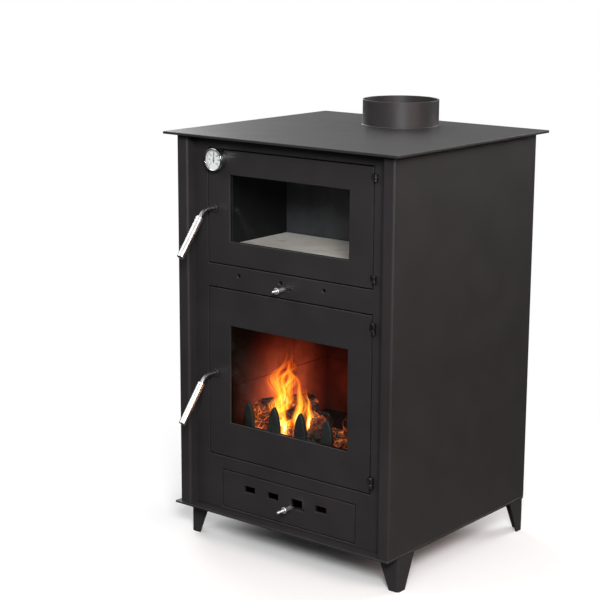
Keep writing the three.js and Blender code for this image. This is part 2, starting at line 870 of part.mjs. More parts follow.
// The air slots repeat in the drawer's front and in the slide behind it
function slotTools(y0, y1) {
  const z = drawerFront.low + airSlotRise;
  const tools = [];
  for (let i = 0; i < airSlotCount; i += 1) {
    const x = airSlotCentre + (i - (airSlotCount - 1) / 2) * airSlotPitch;
    const low = z - airSlotHeight / 2;
    tools.push(block(x - airSlotWidth / 2, x + airSlotWidth / 2, y0, y1, low, low + airSlotHeight));
  }
  return tools;
}

function ashDrawerFront() {
  const y0 = panelFront - overrun;
  const y1 = panelFront + drawerThickness + overrun;
  const plate = rectangleBlock(drawerFront, panelFront, panelFront + drawerThickness);
  const z = drawerFront.low + drawerKnobRise;
  const slotLength = airTravel + knobSlotHeight;
  const knobSlot = slotCutter(drawerKnobX + airTravel / 2, z, slotLength, knobSlotHeight, y0, y1);
  return cut(plate, ...slotTools(y0, y1), knobSlot);
}

const airSlideFront = panelFront + drawerThickness + seat;

function airSlide() {
  const half = ((airSlotCount - 1) * airSlotPitch + airSlotWidth) / 2 + slideMargin;
  const middle = drawerFront.low + airSlotRise;
  const low = drawerFront.low + drawerKnobRise - knobSleeveRadius - slideMargin / 2;
  const high = middle + airSlotHeight / 2 + slideMargin / 2;
  const back = airSlideFront + slideThickness;
  const strip = block(airSlotCentre - half, airSlotCentre + half, airSlideFront, back, low, high);
  return cut(strip, ...slotTools(airSlideFront - overrun, back + overrun));
}

// Ash pan: an open tray whose sides run forward to the drawer's front, past the air slide
function ashPan() {
  const half = panWidth / 2;
  const low = drawerFront.low + panFloorRise;
  const front = panelFront + drawerThickness + seat;
  const wallFront = airSlideFront + slideThickness + seat;
  const back = front + panDepth;
  const body = block(-half, half, front, back, low, low + panHeight);
  const hollow = block(panWall - half, half - panWall, wallFront + panWall, back - panWall, low + panWall, low + panHeight + overrun);
  const mouth = block(panWall - half, half - panWall, front - overrun, wallFront, low - overrun, low + panHeight + overrun);
  const notch = block(
    panWall - half, half - panWall, front - overrun, wallFront + panWall + overrun,
    low + panFrontHeight, low + panHeight + overrun,
  );
  return cut(body, hollow, mouth, notch);
}

function drawerRunner() {
  const inner = panWidth / 2 + seat - runnerWidth + runnerLip;
  const lip = panWidth / 2 + seat;
  const top = drawerFront.low + panFloorRise - seat;
  const y1 = runnerFromFront + runnerLength;
  const shelf = block(inner, lip + runnerLip, runnerFromFront, y1, top - runnerHeight, top);
  const wall = block(lip, lip + runnerLip, runnerFromFront, y1, baseThickness + seat, baseThickness + seat + runnerLipHeight);
  return join(shelf, wall);
}

// Knob of an air slide: a stud through the plate, a sleeve and a disc
function slideKnob(x, z, slideFront, length) {
  const front = panelFront - length;
  const sleeveBack = panelFront - knobRoot;
  const discBack = sleeveBack - knobSleeveLength;
  const profile = [
    [0, slideFront - seat],
    [knobStudRadius, slideFront - seat],
    [knobStudRadius, sleeveBack],
    [knobSleeveRadius, sleeveBack],
    [knobSleeveRadius, discBack],
    [knobDiscRadius, discBack],
    [knobDiscRadius, discBack - knobDiscThickness],
    [knobStudRadius, discBack - knobDiscThickness],
    [knobStudRadius, front],
    [0, front],
  ];
  return turned(profile, x, z, smallFacets);
}

function railSlide() {
  const half = ((railHoleCount - 1) * railHolePitch) / 2 + railHoleRadius + slideMargin;
  const y1 = panelBack + seat + slideThickness;
  const left = railHoleCentre - half;
  const right = railHoleCentre + half;
  const strip = block(left, right, panelBack + seat, y1, railSlideLow, railSlideLow + railSlideHeight);
  const tools = [];
  for (let i = 0; i < railHoleCount; i += 1) {
    const x = railHoleCentre + (i - (railHoleCount - 1) / 2) * railHolePitch;
    tools.push(barAlongY(railHoleRadius, panelBack, y1 + overrun, x, railHoleHeight, plainFacets));
  }
  return cut(strip, ...tools);
}

function bodyPieces() {
  return assembly(
    piece('side_panel_right', sidePanel(), 'paint'),
    piece('side_panel_left', mirrored(sidePanel()), 'paint'),
    piece('back_panel', backPanel(), 'paint'),
    piece('top_plate', topPlate(), 'paint'),
    piece('flue_collar', flueCollar(), 'paint'),
    piece('base_plate', basePlate(), 'paint'),
    piece('front_panel', frontPanel(), 'paint'),
    piece('leg_front_right', leg(), 'paint'),
    piece('leg_front_left', mirrored(leg()), 'paint'),
    piece('leg_rear_right', rearLeg(), 'paint'),
    piece('leg_rear_left', mirrored(rearLeg()), 'paint'),
    piece('oven_door_frame', doorFrame(ovenDoor), 'paintInside'),
    piece('fire_door_frame', doorFrame(fireDoor), 'paintInside'),
    piece('oven_box', ovenBox(), 'paintInside'),
    piece('oven_stone', ovenStone(), 'stone'),
  );
}

function fireboxPieces() {
  return assembly(
    piece('hearth_plate', hearthPlate(), 'castIron'),
    piece('grate', grate(), 'castIron'),
    piece('fire_brick_right', sideBrick(), 'brick'),
    piece('fire_brick_left', mirrored(sideBrick()), 'brick'),
    piece('fire_brick_back', backBrick(), 'brick'),
    piece('baffle_plate', bafflePlate(), 'castIron'),
    piece('log_guard', logGuard(), 'castIron'),
  );
}

// Both doors are built alike: plate, glass, retainer, rope seal, handle, latch and two hinges
function doorPieces(name, door, window, handleHeight, hingeHeight, hingeInset, extraHoles) {
  const rodHole = { x: handleX, z: handleHeight, radius: handleRodRadius + seat };
  const lowerHinge = door.low + hingeInset - hingeHeight / 2;
  const upperHinge = door.high - hingeInset - hingeHeight / 2;
  return assembly(
    piece(`${name}_door_plate`, doorPlate(door, window, [rodHole, ...extraHoles]), 'paint'),
    piece(`${name}_glass`, doorGlass(window), 'glass'),
    piece(`${name}_glass_retainer`, glassRetainer(window), 'paintInside'),
    piece(`${name}_door_seal`, doorSeal(door), 'rope'),
    piece(`${name}_handle_bush`, handleBush(handleHeight), 'paint'),
    piece(`${name}_handle_rod`, handleRod(handleHeight), 'steel'),
    piece(`${name}_handle_grip`, handleGrip(handleHeight), 'chrome'),
    piece(`${name}_latch_tongue`, latchTongue(handleHeight), 'steel'),
    piece(`${name}_hinge_pin_upper`, hingePin(upperHinge, hingeHeight), 'paint'),
    piece(`${name}_hinge_pin_lower`, hingePin(lowerHinge, hingeHeight), 'paint'),
    piece(`${name}_hinge_sleeve_upper`, hingeSleeve(upperHinge, hingeHeight), 'paint'),
    piece(`${name}_hinge_sleeve_lower`, hingeSleeve(lowerHinge, hingeHeight), 'paint'),
  );
}

function thermometerPieces() {
  return assembly(
    piece('thermometer_case', thermometerCase(), 'steel'),
    piece('thermometer_bezel', thermometerBezel(), 'chrome'),
    piece('thermometer_dial', thermometerDial(), 'dial'),
    piece('thermometer_needle', thermometerNeedle(), 'needle'),
    piece('thermometer_lens', thermometerLens(), 'glass'),
    piece('thermometer_nut', thermometerNut(), 'steel'),
  );
}

function drawerPieces() {
  const drawerKnobZ = drawerFront.low + drawerKnobRise;
  return assembly(
    piece('ash_drawer_front', ashDrawerFront(), 'paint'),
    piece('ash_pan', ashPan(), 'paintInside'),
    piece('air_slide', airSlide(), 'paintInside'),
    piece('air_slide_knob', slideKnob(drawerKnobX, drawerKnobZ, airSlideFront, drawerKnobLength), 'chrome'),
    piece('drawer_runner_right', drawerRunner(), 'paintInside'),
    piece('drawer_runner_left', mirrored(drawerRunner()), 'paintInside'),
  );
}

function railPieces() {
  const slideFront = panelBack + seat;
  return assembly(
    piece('rail_slide', railSlide(), 'paintInside'),
    piece('rail_slide_knob', slideKnob(railKnobX, railKnobHeight, slideFront, railKnobLength), 'chrome'),
  );
}

const thermometerHole = { x: thermometerX, z: thermometerZ, radius: stemRadius + seat };

const stove = new THREE.Group();
stove.add(
  bodyPieces(),
  fireboxPieces(),
  doorPieces('oven', ovenDoor, ovenWindow, ovenHandleHeight, ovenHingeHeight, ovenHingeInset, [thermometerHole]),
  doorPieces('fire', fireDoor, fireWindow, fireHandleHeight, fireHingeHeight, fireHingeInset, []),
  thermometerPieces(),
  drawerPieces(),
  railPieces(),
);

// The stove stands on its footprint: the middle of its outline, at the feet, is the origin
const outline = new THREE.Box3().setFromObject(stove);
const middle = outline.getCenter(new THREE.Vector3());
stove.position.set(-middle.x, -middle.y, -outline.min.z);

export default stove;
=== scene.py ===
"""A wood stove with an oven above its firebox, dressed for looking at.

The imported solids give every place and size. Flat sheet pieces keep their solids and get a finish
and softened edges. Folded, turned, woven, burnt and burning pieces are drawn here as surfaces.
Lengths are metres: X runs to the right, Y to the back and Z up.
"""

import json
import math
from functools import cache, partial

import bmesh
import bpy
import numpy as np
from mathutils import Matrix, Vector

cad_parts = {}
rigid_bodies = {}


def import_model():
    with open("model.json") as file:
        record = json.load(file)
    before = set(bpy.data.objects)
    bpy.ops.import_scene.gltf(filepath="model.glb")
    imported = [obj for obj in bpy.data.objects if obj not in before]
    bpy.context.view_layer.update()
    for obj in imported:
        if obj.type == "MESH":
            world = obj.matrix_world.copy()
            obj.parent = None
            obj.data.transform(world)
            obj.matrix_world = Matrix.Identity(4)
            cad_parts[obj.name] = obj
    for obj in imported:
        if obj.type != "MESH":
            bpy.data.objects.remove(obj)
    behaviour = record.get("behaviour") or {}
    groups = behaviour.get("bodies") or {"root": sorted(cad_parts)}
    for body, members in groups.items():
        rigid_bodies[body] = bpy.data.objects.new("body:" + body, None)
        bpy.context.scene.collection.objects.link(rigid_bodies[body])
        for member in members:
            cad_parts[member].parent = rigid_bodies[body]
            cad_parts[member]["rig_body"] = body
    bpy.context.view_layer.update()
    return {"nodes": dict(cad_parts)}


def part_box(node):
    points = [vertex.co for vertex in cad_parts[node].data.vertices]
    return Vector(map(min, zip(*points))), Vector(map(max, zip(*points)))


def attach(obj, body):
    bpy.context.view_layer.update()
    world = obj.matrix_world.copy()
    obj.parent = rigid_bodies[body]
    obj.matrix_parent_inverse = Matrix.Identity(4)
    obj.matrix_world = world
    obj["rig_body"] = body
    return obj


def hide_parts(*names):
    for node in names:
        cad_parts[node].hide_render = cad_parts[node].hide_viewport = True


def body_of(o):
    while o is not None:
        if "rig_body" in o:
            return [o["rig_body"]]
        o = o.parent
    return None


bl_info = {
    "name": "Wood stove with oven",
    "version": (1, 0, 0),
    "blender": (4, 5, 0),
    "location": "3D View > Sidebar > Stove",
    "description": "Dresses a wood stove with an oven, its two doors, its fire and its fittings",
    "category": "Add Mesh",
}

for leftover in list(bpy.data.objects):
    bpy.data.objects.remove(leftover)

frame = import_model()

MM = 0.001
TURN = 2 * math.pi
UP = (0.0, 0.0, 1.0)
BACK = (0.0, 1.0, 0.0)
FRONT = (0.0, -1.0, 0.0)


def corners(node):
    """The lowest and highest corner of a solid, as two arrays."""
    low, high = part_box(node)
    return np.array(low), np.array(high)


def centre(node):
    """The middle of a solid's box."""
    return sum(corners(node)) / 2


def linear(code):
    """An sRGB hex colour turned to linear light: a power of 2.4 above a short straight foot."""
    parts = np.array([int(code[i : i + 2], 16) for i in (1, 3, 5)]) / 255
    bent = np.where(parts <= 0.04045, parts / 12.92, ((parts + 0.055) / 1.055) ** 2.4)
    return (*bent.tolist(), 1.0)


def per(millimetres):
    """The texture scale at which one cell of a pattern is this many millimetres wide."""
    return 1000 / millimetres


# Surfaces


def smooth_noise(points, size, seed):
    """A soft random value per point, from -1 to 1: a sum of nine slanted sine waves whose
    directions and phases are drawn from the seed and whose length is about the size given."""
    draw = np.random.default_rng(seed)
    total = np.zeros(points.shape[:-1])
    for octave in range(3):
        directions = draw.normal(size=(3, 3))
        directions /= np.linalg.norm(directions, axis=1, keepdims=True)
        phases = draw.uniform(0, TURN, 3)
        waves = points @ directions.T * (TURN / size * 1.9**octave) + phases
        total += np.sin(waves).sum(-1) / 3 / 1.7**octave
    return total / 1.6


def softened(points, radius, steps=4, closed=False):
    """A polyline whose corners are rounded. Each corner gives way to a curve drawn from a point
    on the line before it to one on the line after it, weighted (1-t)^2, 2t(1-t) and t^2."""
    points = np.asarray(points, float)
    ways = [np.roll(points, shift, 0) - points for shift in (1, -1)]
    lengths = [np.linalg.norm(way, axis=1, keepdims=True) for way in ways]
    reach = np.minimum(radius, 0.45 * np.minimum(*lengths))
    start, end = (points + way / length * reach for way, length in zip(ways, lengths))
    t = np.linspace(0, 1, steps + 1)[None, :, None]
    curve = (1 - t) ** 2 * start[:, None] + 2 * t * (1 - t) * points[:, None] + t**2 * end[:, None]
    if closed:
        return curve.reshape(-1, points.shape[1])
    return np.vstack([points[:1], curve[1:-1].reshape(-1, points.shape[1]), points[-1:]])


def round_angles(sides):
    """Even steps once round a circle."""
    return np.linspace(0, TURN, sides, endpoint=False)


def squared(angle):
    """The radius of a square with round corners: (|cos a|^3 + |sin a|^3)^(-1/3)."""
    return (np.abs(np.cos(angle)) ** 3 + np.abs(np.sin(angle)) ** 3) ** (-1 / 3)


def across(axis):
    """A unit axis, and two unit vectors at right angles to it and to each other."""
    axis = np.asarray(axis, float) / np.linalg.norm(axis)
    side = np.cross((1, 0, 0) if abs(axis[0]) < 0.9 else (0, 1, 0), axis)
    side /= np.linalg.norm(side)
    return axis, side, np.cross(axis, side)


def turned(profile, origin, axis, sides=48, hoop=False):
    """A turned form: each profile pair (radius, along) becomes a ring of points
    origin + axis * along + radius * (cos a * side + sin a * other). A hoop's profile is closed."""
    axis, side, other = across(axis)
    profile = np.asarray(profile, float)[:, :, None, None]
    angle = round_angles(sides)[:, None]
    points = np.asarray(origin, float) + profile[:, 1] * axis
    return points + profile[:, 0] * (np.cos(angle) * side + np.sin(angle) * other), (hoop, True)


def swept(path, section, binormal, closed=False):
    """A section carried along a path that lies in one plane. Every section point (u, v) goes to
    path + u * normal + v * binormal, where the normal is the path's direction crossed with the
    binormal. Section may be one outline, or one for each point of the path."""
    path, section = np.asarray(path, float), np.asarray(section, float)
    if closed:
        along = np.roll(path, -1, 0) - np.roll(path, 1, 0)
    else:
        along = np.gradient(path, axis=0)
    along /= np.linalg.norm(along, axis=1, keepdims=True)
    normal = np.cross(along, binormal)
    if section.ndim == 2:
        section = section[None]
    points = path[:, None] + section[..., 0, None] * normal[:, None]
    return points + section[..., 1, None] * np.asarray(binormal), (closed, True)


def round_section(radius, sides=16):
    """A circle of section points."""
    angle = round_angles(sides)
    return radius * np.stack([np.cos(angle), np.sin(angle)], -1)


def raised(outline, *heights):
    """An upright prism: the same outline of X, Y points at two heights, closed by flat ends."""
    outline = np.asarray(outline, float)
    rows = [np.column_stack([outline, np.full(len(outline), z)]) for z in heights]
    return np.stack(rows), (False, True)


def box_surface(low, high, edge=0.3 * MM):
    """A small box with eased upright edges, raised from its rounded plan."""
    plan = [(low[0], low[1]), (high[0], low[1]), (high[0], high[1]), (low[0], high[1])]
    return raised(softened(plan, edge, 3, True), low[2], high[2])


def even(path, step):
    """The same line with its points a steady step apart, by straight interpolation on length."""
    path = np.asarray(path, float)
    length = np.concatenate([[0], np.cumsum(np.linalg.norm(np.diff(path, axis=0), axis=1))])
    where = np.linspace(0, length[-1], max(2, round(length[-1] / step) + 1))
    return np.stack([np.interp(where, length, values) for values in path.T], -1)


def pan_head(place, axis, radius):
    """A screw head: a dome turned round its axis, with a small sunk dish for the driver."""
    dome = [
        (0, 0.12), (0.26, 0.14), (0.34, 0.38), (0.62, 0.36), (0.9, 0.2), (1, 0), (1, -0.1),
        (0, -0.1),
    ]
    return turned(np.array(dome) * radius, place, axis, 20)


def bead(path, radius):
    """A level weld bead: a round section whose radius swells and shrinks along the path, as each
    drop of metal froze, and tapers at its two ends."""
    path = even(path, radius * 0.45)
    s = np.linspace(0, 1, len(path))
    length = np.linalg.norm(np.diff(path, axis=0), axis=1).sum()
    swell = 1 + 0.18 * np.abs(np.sin(s * length / (radius * 1.5) * math.pi))
    ends = np.sqrt(np.clip(1 - (2 * s - 1) ** 12, 0, 1))
    return swept(path, round_section(radius, 10) * (swell * ends * 0.85)[:, None, None], UP)


def grid_faces(rows, columns, wrap):
    """The four corners of every cell of a grid of points, whose rows or columns may wrap."""
    r = np.arange(rows if wrap[0] else rows - 1)
    c = np.arange(columns if wrap[1] else columns - 1)
    r, c = (a.ravel() for a in np.meshgrid(r, c, indexing="ij"))
    r1, c1 = (r + 1) % rows, (c + 1) % columns
    return np.stack([r * columns + c, r * columns + c1, r1 * columns + c1, r1 * columns + c], -1)


def volume_under(points, faces):
    """Six times the signed volume inside four-cornered faces, each split in two triangles."""
    a, b, c, d = (points[faces[:, i]] for i in range(4))
    return sum(np.einsum("ij,ij->", a, np.cross(*pair)) for pair in ((b, c), (c, d)))


# Pieces


def merged(mesh, source, level=0.0, sharp=40):
    """Fills a mesh from a source with its doubles merged and its sharp edges marked. A level
    angle joins the faces that lie flat together."""
    work = bmesh.new()
    work.from_mesh(source)
    bmesh.ops.remove_doubles(work, verts=work.verts, dist=2e-6)
    if level:
        bmesh.ops.dissolve_limit(work, angle_limit=level, verts=work.verts, edges=work.edges)
    else:
        bmesh.ops.dissolve_degenerate(work, edges=work.edges, dist=1e-6)
    work.to_mesh(mesh)
    work.free()
    mesh.shade_smooth()
    mesh.set_sharp_from_angle(angle=math.radians(sharp))
    return mesh


def settle(name, mesh, look, node=None, body=None, slot=None, edge=0.0):
    """Puts a mesh in the scene as a piece with its finish. A piece that stands for a solid takes
    that solid's body, and the solid is hidden; the slot argument is not used. Where an edge radius
    is given, its edges are softened."""
    piece = bpy.data.objects.new(name, mesh)
    bpy.context.scene.collection.objects.link(piece)
    mesh.materials.append(finish(look))
    if edge:
        soft = piece.modifiers.new("Soft edges", "BEVEL")
        soft.width, soft.segments = edge, 2
        soft.limit_method, soft.angle_limit = "ANGLE", math.radians(40)
        soft.use_clamp_overlap = False
    piece.modifiers.new("Even shading", "WEIGHTED_NORMAL").keep_sharp = True
    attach(piece, body or body_of(frame["nodes"][node])[0])
    if node:
        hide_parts(node)
    return piece


def shell(name, surfaces, look, node=None, body=None, slot=None, sharp=40, maps=None):
    """One piece from several surfaces. Each is a grid of points with its wraps. A grid that wraps
    one way only gets its open ends closed by flat faces, and a closed one whose volume comes out
    negative is turned, so that every face looks outwards."""
    all_points, all_faces, caps = [], [], []
    offset = 0
    for points, wrap in surfaces:
        rows, columns = points.shape[:2]
        flat = points.reshape(-1, 3)
        faces = grid_faces(rows, columns, wrap)
        ends = []
        if wrap == (False, True):
            ends = [np.arange(columns)[::-1], (rows - 1) * columns + np.arange(columns)]
        if any(wrap) and volume_under(flat - flat.mean(0), faces) < 0:
            faces = faces[:, ::-1]
            ends = [end[::-1] for end in ends]
        caps += [(end + offset).tolist() for end in ends if flat[end].std(0).max() > 1e-7]
        all_points.append(flat)
        all_faces.append(faces + offset)
        offset += len(flat)
    mesh = bpy.data.meshes.new(name)
    mesh.from_pydata(np.vstack(all_points).tolist(), [], np.vstack(all_faces).tolist() + caps)
    if maps is not None:
        layer = mesh.uv_layers.new(name="along")
        corner = np.empty(len(mesh.loops), np.int32)
        mesh.loops.foreach_get("vertex_index", corner)
        layer.data.foreach_set("uv", np.asarray(maps, float)[corner].astype(np.float32).ravel())
    return settle(name, merged(mesh, mesh, sharp=sharp), look, node, body, slot)


def dress(names, look, edge):
    """Solids that keep their shape. A copy of each, with its loose triangles merged and its level
    faces joined so that every edge can be softened, stands for the solid. Without an edge to
    soften, the solid itself gets the finish."""
    for name in names:
        solid = frame["nodes"][name]
        if edge:
            mesh = merged(bpy.data.meshes.new(name + "_eased"), solid.data, math.radians(0.5))
            settle(mesh.name, mesh, look, name, edge=edge)
            continue
        for place in solid.material_slots:
            place.material = finish(look)


def heap(name, x, y, floor, height, look, body, slot):
    """A heap of loose stuff: its height stands on the plan, and a flat underside closes it."""
    top = np.stack([x, y, floor + height], -1)
    under = top[::-1].copy()
    under[..., 2] = floor
    grid = np.concatenate([top, under[1:]])
    shell(name, [(grid, (False, True))], look, body=body, slot=slot, sharp=180)


def screws(name, body, spots, y, radius):
    """One piece of zinced screw heads that face the back, at each X and Z."""
    heads = [pan_head((x, y, z), BACK, radius) for x, z in spots]
    shell(name, heads, "zinc", body=body, slot="rod_steel")


# Finishes


class Finish:
    """The nodes of a material, or of the world, while it is being made."""

    def __init__(self, name, store="materials", follows="Object"):
        self.made = getattr(bpy.data, store).new(name)
        self.made.use_nodes = True
        self.made.node_tree.nodes.clear()
        self.place = self.add("TexCoord", out=follows)

    def add(self, kind, inputs=(), out=0, **settings):
        """Adds a node with its settings and its inputs, by number or name: plain values, hex
        colours, or outputs to link. Gives back one of its outputs."""
        tree = self.made.node_tree
        node = tree.nodes.new("ShaderNode" + kind)
        for key, value in settings.items():
            setattr(node, key, value)
        for key, value in dict(inputs if isinstance(inputs, dict) else enumerate(inputs)).items():
            if isinstance(value, bpy.types.NodeSocket):
                tree.links.new(value, node.inputs[key])
            else:
                node.inputs[key].default_value = linear(value) if isinstance(value, str) else value
        return node.outputs[out] if node.outputs else node

    def cells(self, size, detail, roughness=0.55):
        """What a noise needs for cells this many millimetres wide."""
        return {"Vector": self.place, "Scale": per(size), "Detail": detail, "Roughness": roughness}

    def clouds(self, cells, low, high, at_low=0.0, at_high=1.0):
        """Random clouds, spread from their own range to another and held inside it."""
        noise = self.add("TexNoise", self.cells(*cells))
        return self.add("MapRange", (noise, low, high, at_low, at_high))

    def coats(self, colour, *coats):
        """A colour under coats. Each coat is a mask and the colour that covers where it is 1."""
        for mask, coat in coats:
            colour = self.add("Mix", {0: mask, 6: colour, 7: coat}, 2, data_type="RGBA")
        return colour

    def skin(self, colour, roughness, grain=None, strength=0.0, depth=0.0, glow=None, **sockets):
        """Ends a material with one surface. Its bump is so many millimetres deep and follows an
        output or a noise's cells. A glow has a mask, its full strength, and a dull and a bright
        colour."""
        sockets = {key.replace("_", " "): value for key, value in sockets.items()}
        if glow:
            mask, full, dull, bright = glow
            sockets["Emission Color"] = self.coats(dull, (mask, bright))
            sockets["Emission Strength"] = self.add("Math", (mask, full), operation="MULTIPLY")
        if isinstance(grain, tuple):
            grain = self.add("TexNoise", self.cells(*grain))
        if grain is not None:
            bump = {"Height": grain, "Strength": strength, "Distance": depth * MM}
            sockets["Normal"] = self.add("Bump", bump)
        sockets |= {"Base Color": colour, "Roughness": roughness}
        self.add("OutputMaterial", [self.add("BsdfPrincipled", sockets)])
        return self.made

    def pane(self, straight, gloss, body):
        """Ends a clear pane. It mirrors a small share straight on, and the rest rises with the
        fifth power of the slant, the same on both faces. Body is what shows through it."""
        slant = self.add("LayerWeight", {"Blend": 0.5}, "Facing")
        rise = self.add("Math", (slant, 5.0), operation="POWER")
        mirror = self.add("Math", (rise, 1.0 - straight, straight), operation="MULTIPLY_ADD")
        shine = self.add("BsdfGlossy", {"Color": "#ffffff", "Roughness": gloss})
        self.add("OutputMaterial", [self.add("MixShader", (mirror, body, shine))])
        return self.made


def stove_paint(colours):
    """Silicone stove paint, sprayed on sheet steel and baked: a dry fine grain and a broad, low
    sheen, with slow clouds in its depth and thin rubbed edges."""
    look = Finish("Baked silicone stove paint")
    # Near an edge a bevelled normal leans away from the true one, and clouds break up the wear
    bent = look.add("Bevel", {"Radius": 0.9 * MM}, samples=6)
    true = look.add("NewGeometry", out="Normal")
    lean = look.add("VectorMath", (bent, true), "Value", operation="DOT_PRODUCT")
    edge = look.add("MapRange", (lean, 0.995, 0.9, 0.0, 0.55))
    wear = look.add("Math", (edge, look.clouds((9, 5, 0.7), 0.52, 0.62)), operation="MULTIPLY")
    deep, light = tuple(colours.paint_deep), tuple(colours.paint_light)
    colour = look.coats(deep, (look.clouds((85, 4), 0.35, 0.65), light), (wear, "#6a6764"))
    sheen = look.clouds((60, 3), 0.3, 0.7, 0.43, 0.46)
    # The real grain is about 0.3 mm: it is drawn at 1.1 mm, the finest that still shows
    return look.skin(colour, sheen, (1.1, 2), 0.12, 0.06, Specular_IOR_Level=0.45)


def inner_steel(name, deep, light, roughness, painted_side_shade=0.0):
    """Bare or thinly painted sheet steel that has been hot: blue-grey scale in slow clouds, with
    a duller, dustier film in places. A share of near-black painted shade darkens the walls that
    face left or right, standing in for the shade that falls on them."""
    look = Finish(name)
    sideways = look.add("SeparateXYZ", [look.add("NewGeometry", out="Normal")], "X")
    sideways = look.add("Math", [sideways], operation="ABSOLUTE")
    # Painted shade: walls that face left or right turn near black, standing in for shade inside the
    # box
    dark = look.add("MapRange", (sideways, 0.4, 0.8, 0.0, painted_side_shade))
    colour = look.coats(deep, (look.clouds((60, 5), 0.35, 0.68), light), (dark, "#050506"))
    film = look.clouds((16, 4), 0.3, 0.7, roughness - 0.07, roughness + 0.1)
    return look.skin(colour, film, (1.6, 3), 0.3, 0.15, Metallic=0.35)


def cast_iron():
    """Grey iron cast in sand: a pebbled skin of 1 to 2 mm, nearly black where the fire has
    oxidised it, greyer on the rubbed high spots."""
    look = Finish("Sand-cast grey iron")
    pebbles, patches = (look.add("TexNoise", look.cells(*c)) for c in ((1.8, 4, 0.6), (35, 4)))
    tone = look.add("MapRange", (look.add("Math", (pebbles, patches)), 0.75, 1.25))
    colour = look.coats("#1d2120", (tone, "#3a403d"))
    rough = look.add("MapRange", (pebbles, 0.3, 0.7, 0.55, 0.8))
    return look.skin(colour, rough, pebbles, 0.6, 0.35, Metallic=0.45)


def refractory_stone():
    """Pressed cordierite baking stone, painted near white to stand in for the light that falls on
    it
    in the oven: chalky, with fine grog specks, a few darker stains from baking, and small open
    pits."""
    look = Finish("Pressed cordierite stone")
    speck = look.add("TexVoronoi", {"Vector": look.place, "Scale": per(2.6)})
    grog = look.add("MapRange", (speck, 0.12, 0.22, 0.45, 0.0))
    tone, stain = look.clouds((70, 5), 0.35, 0.65), look.clouds((48, 2), 0.62, 0.74, 0.0, 0.35)
    # Painted light: near white, lighter than the stone's own beige, standing in for light inside
    # the oven
    colour = look.coats("#eee2d6", (tone, "#fdf6ef"), (grog, "#8d7c66"), (stain, "#9a8468"))
    return look.skin(colour, 0.92, look.clouds((2.2, 4, 0.7), 0.3, 0.5), 0.5, 0.3)


def fire_brick(fire):
    """Pressed vermiculite board laid as bricks: buff, with mica flakes, deep soot, open joints,
    and painted red firelight near the fire, which fades with distance from the fire's hearts."""
    brick, offset, joint = 0.0865, 0.0585, (0.4 * MM, 1.4 * MM)
    look = Finish("Pressed vermiculite brick")
    near, far = (
        look.add("VectorMath", (look.place, tuple(heart)), "Value", operation="DISTANCE")
        for heart in (fire.heart, fire.second_heart)
    )
    weaker = look.add("Math", (far, 0.015))
    away = look.add("Math", (near, weaker), operation="MINIMUM")
    smoke = look.add("TexNoise", look.cells(90, 5))
    smoke = look.add("Math", (smoke, 0.12, away), operation="MULTIPLY_ADD")
    soot = look.add("MapRange", (smoke, 0.12, 0.22, 0.92, 0.988))
    joints = 1.0
    for axis in "XYZ":
        line = look.add("Math", (look.add("SeparateXYZ", [look.place], axis), offset))
        wave = look.add("Math", (line, brick), operation="PINGPONG")
        groove = look.add("MapRange", (wave, *joint, 0.5, 1.0))
        joints = look.add("Math", (groove, joints), operation="MULTIPLY")
    # Painted firelight: the bricks glow red near the fire's hearts, standing in for the light the
    # fire casts on them
    firelight = look.add("MapRange", (away, 0.06, fire.glow_reach, 1.0, 0.0))
    firelight = look.add("Math", (firelight, 2.3), operation="POWER")
    for share in (look.clouds((70, 4), 0.25, 0.75, 0.55, 1.25), joints):
        firelight = look.add("Math", (firelight, share), operation="MULTIPLY")
    flake = look.add("TexVoronoi", {"Vector": look.place, "Scale": per(3.2)})
    board = look.coats("#a18c68", (flake, "#6f5e45"), (soot, "#0b0807"))
    face = look.add("Math", (look.add("TexNoise", look.cells(4, 4)), joints))
    # The painted firelight's strength, and its dull and bright red-orange
    glow = (firelight, fire.glow_strength, "#7a1004", "#ff7044")
    return look.skin(look.coats("#0a0807", (joints, board)), 0.95, face, 0.6, 0.6, glow)


def glass_rope():
    """Knitted glass-fibre rope: dull grey yarn with the stitches of its cover, blackened a little
    where it meets the frame."""
    look = Finish("Knitted glass-fibre rope")
    yarn = look.add("TexNoise", look.cells(5, 4))
    soot = look.clouds((40, 3), 0.45, 0.65, 0.0, 0.6)
    colour = look.coats("#3b3a38", (yarn, "#7d7a74"), (soot, "#23211f"))
    return look.skin(colour, 0.95, (0.9, 2), 0.6, 0.3)


def drawn_steel(name, code, roughness, brushed):
    """Drawn or turned steel: a true metal whose fine marks and finger marks break its gloss."""
    look = Finish(name)
    dull = (*(0.82 * part for part in linear(code)[:3]), 1.0)
    colour = look.coats(code, (look.clouds((18, 4), 0.3, 0.7), dull))
    smear = look.clouds((11, 4), 0.35, 0.7, roughness, roughness + brushed)
    return look.skin(colour, smear, (0.8, 2), 0.08, 0.05, Metallic=1.0)


def door_glass():
    """Clear ceramic glass: it lets the fire through, mirrors a little more at a slant, and has a
    brown bloom of tar that gathers in the lower door's corners."""
    look = Finish("Clear ceramic stove glass")
    middle = tuple(centre("fire_glass"))
    away = look.add("VectorMath", (look.place, middle), "Value", operation="DISTANCE")
    away = look.add("Math", (away, look.clouds((40, 4), 0.3, 0.7, -0.03, 0.03)))
    height = look.add("SeparateXYZ", [look.place], "Z")
    low_door = look.add("MapRange", (height, 0.50, 0.52, 1.0, 0.0))
    bloom = look.add("MapRange", (away, 0.12, 0.21, 0.0, 0.5))
    bloom = look.add("Math", (bloom, low_door), operation="MULTIPLY")
    brown = look.add("Math", (bloom, 2.0), operation="MULTIPLY")
    clear = look.add("BsdfTransparent", [look.coats("#fbfcfc", (brown, "#c69a6c"))])
    tar = look.add("BsdfDiffuse", ["#20130b"])
    return look.pane(0.032, 0.02, look.add("MixShader", (bloom, clear, tar)))


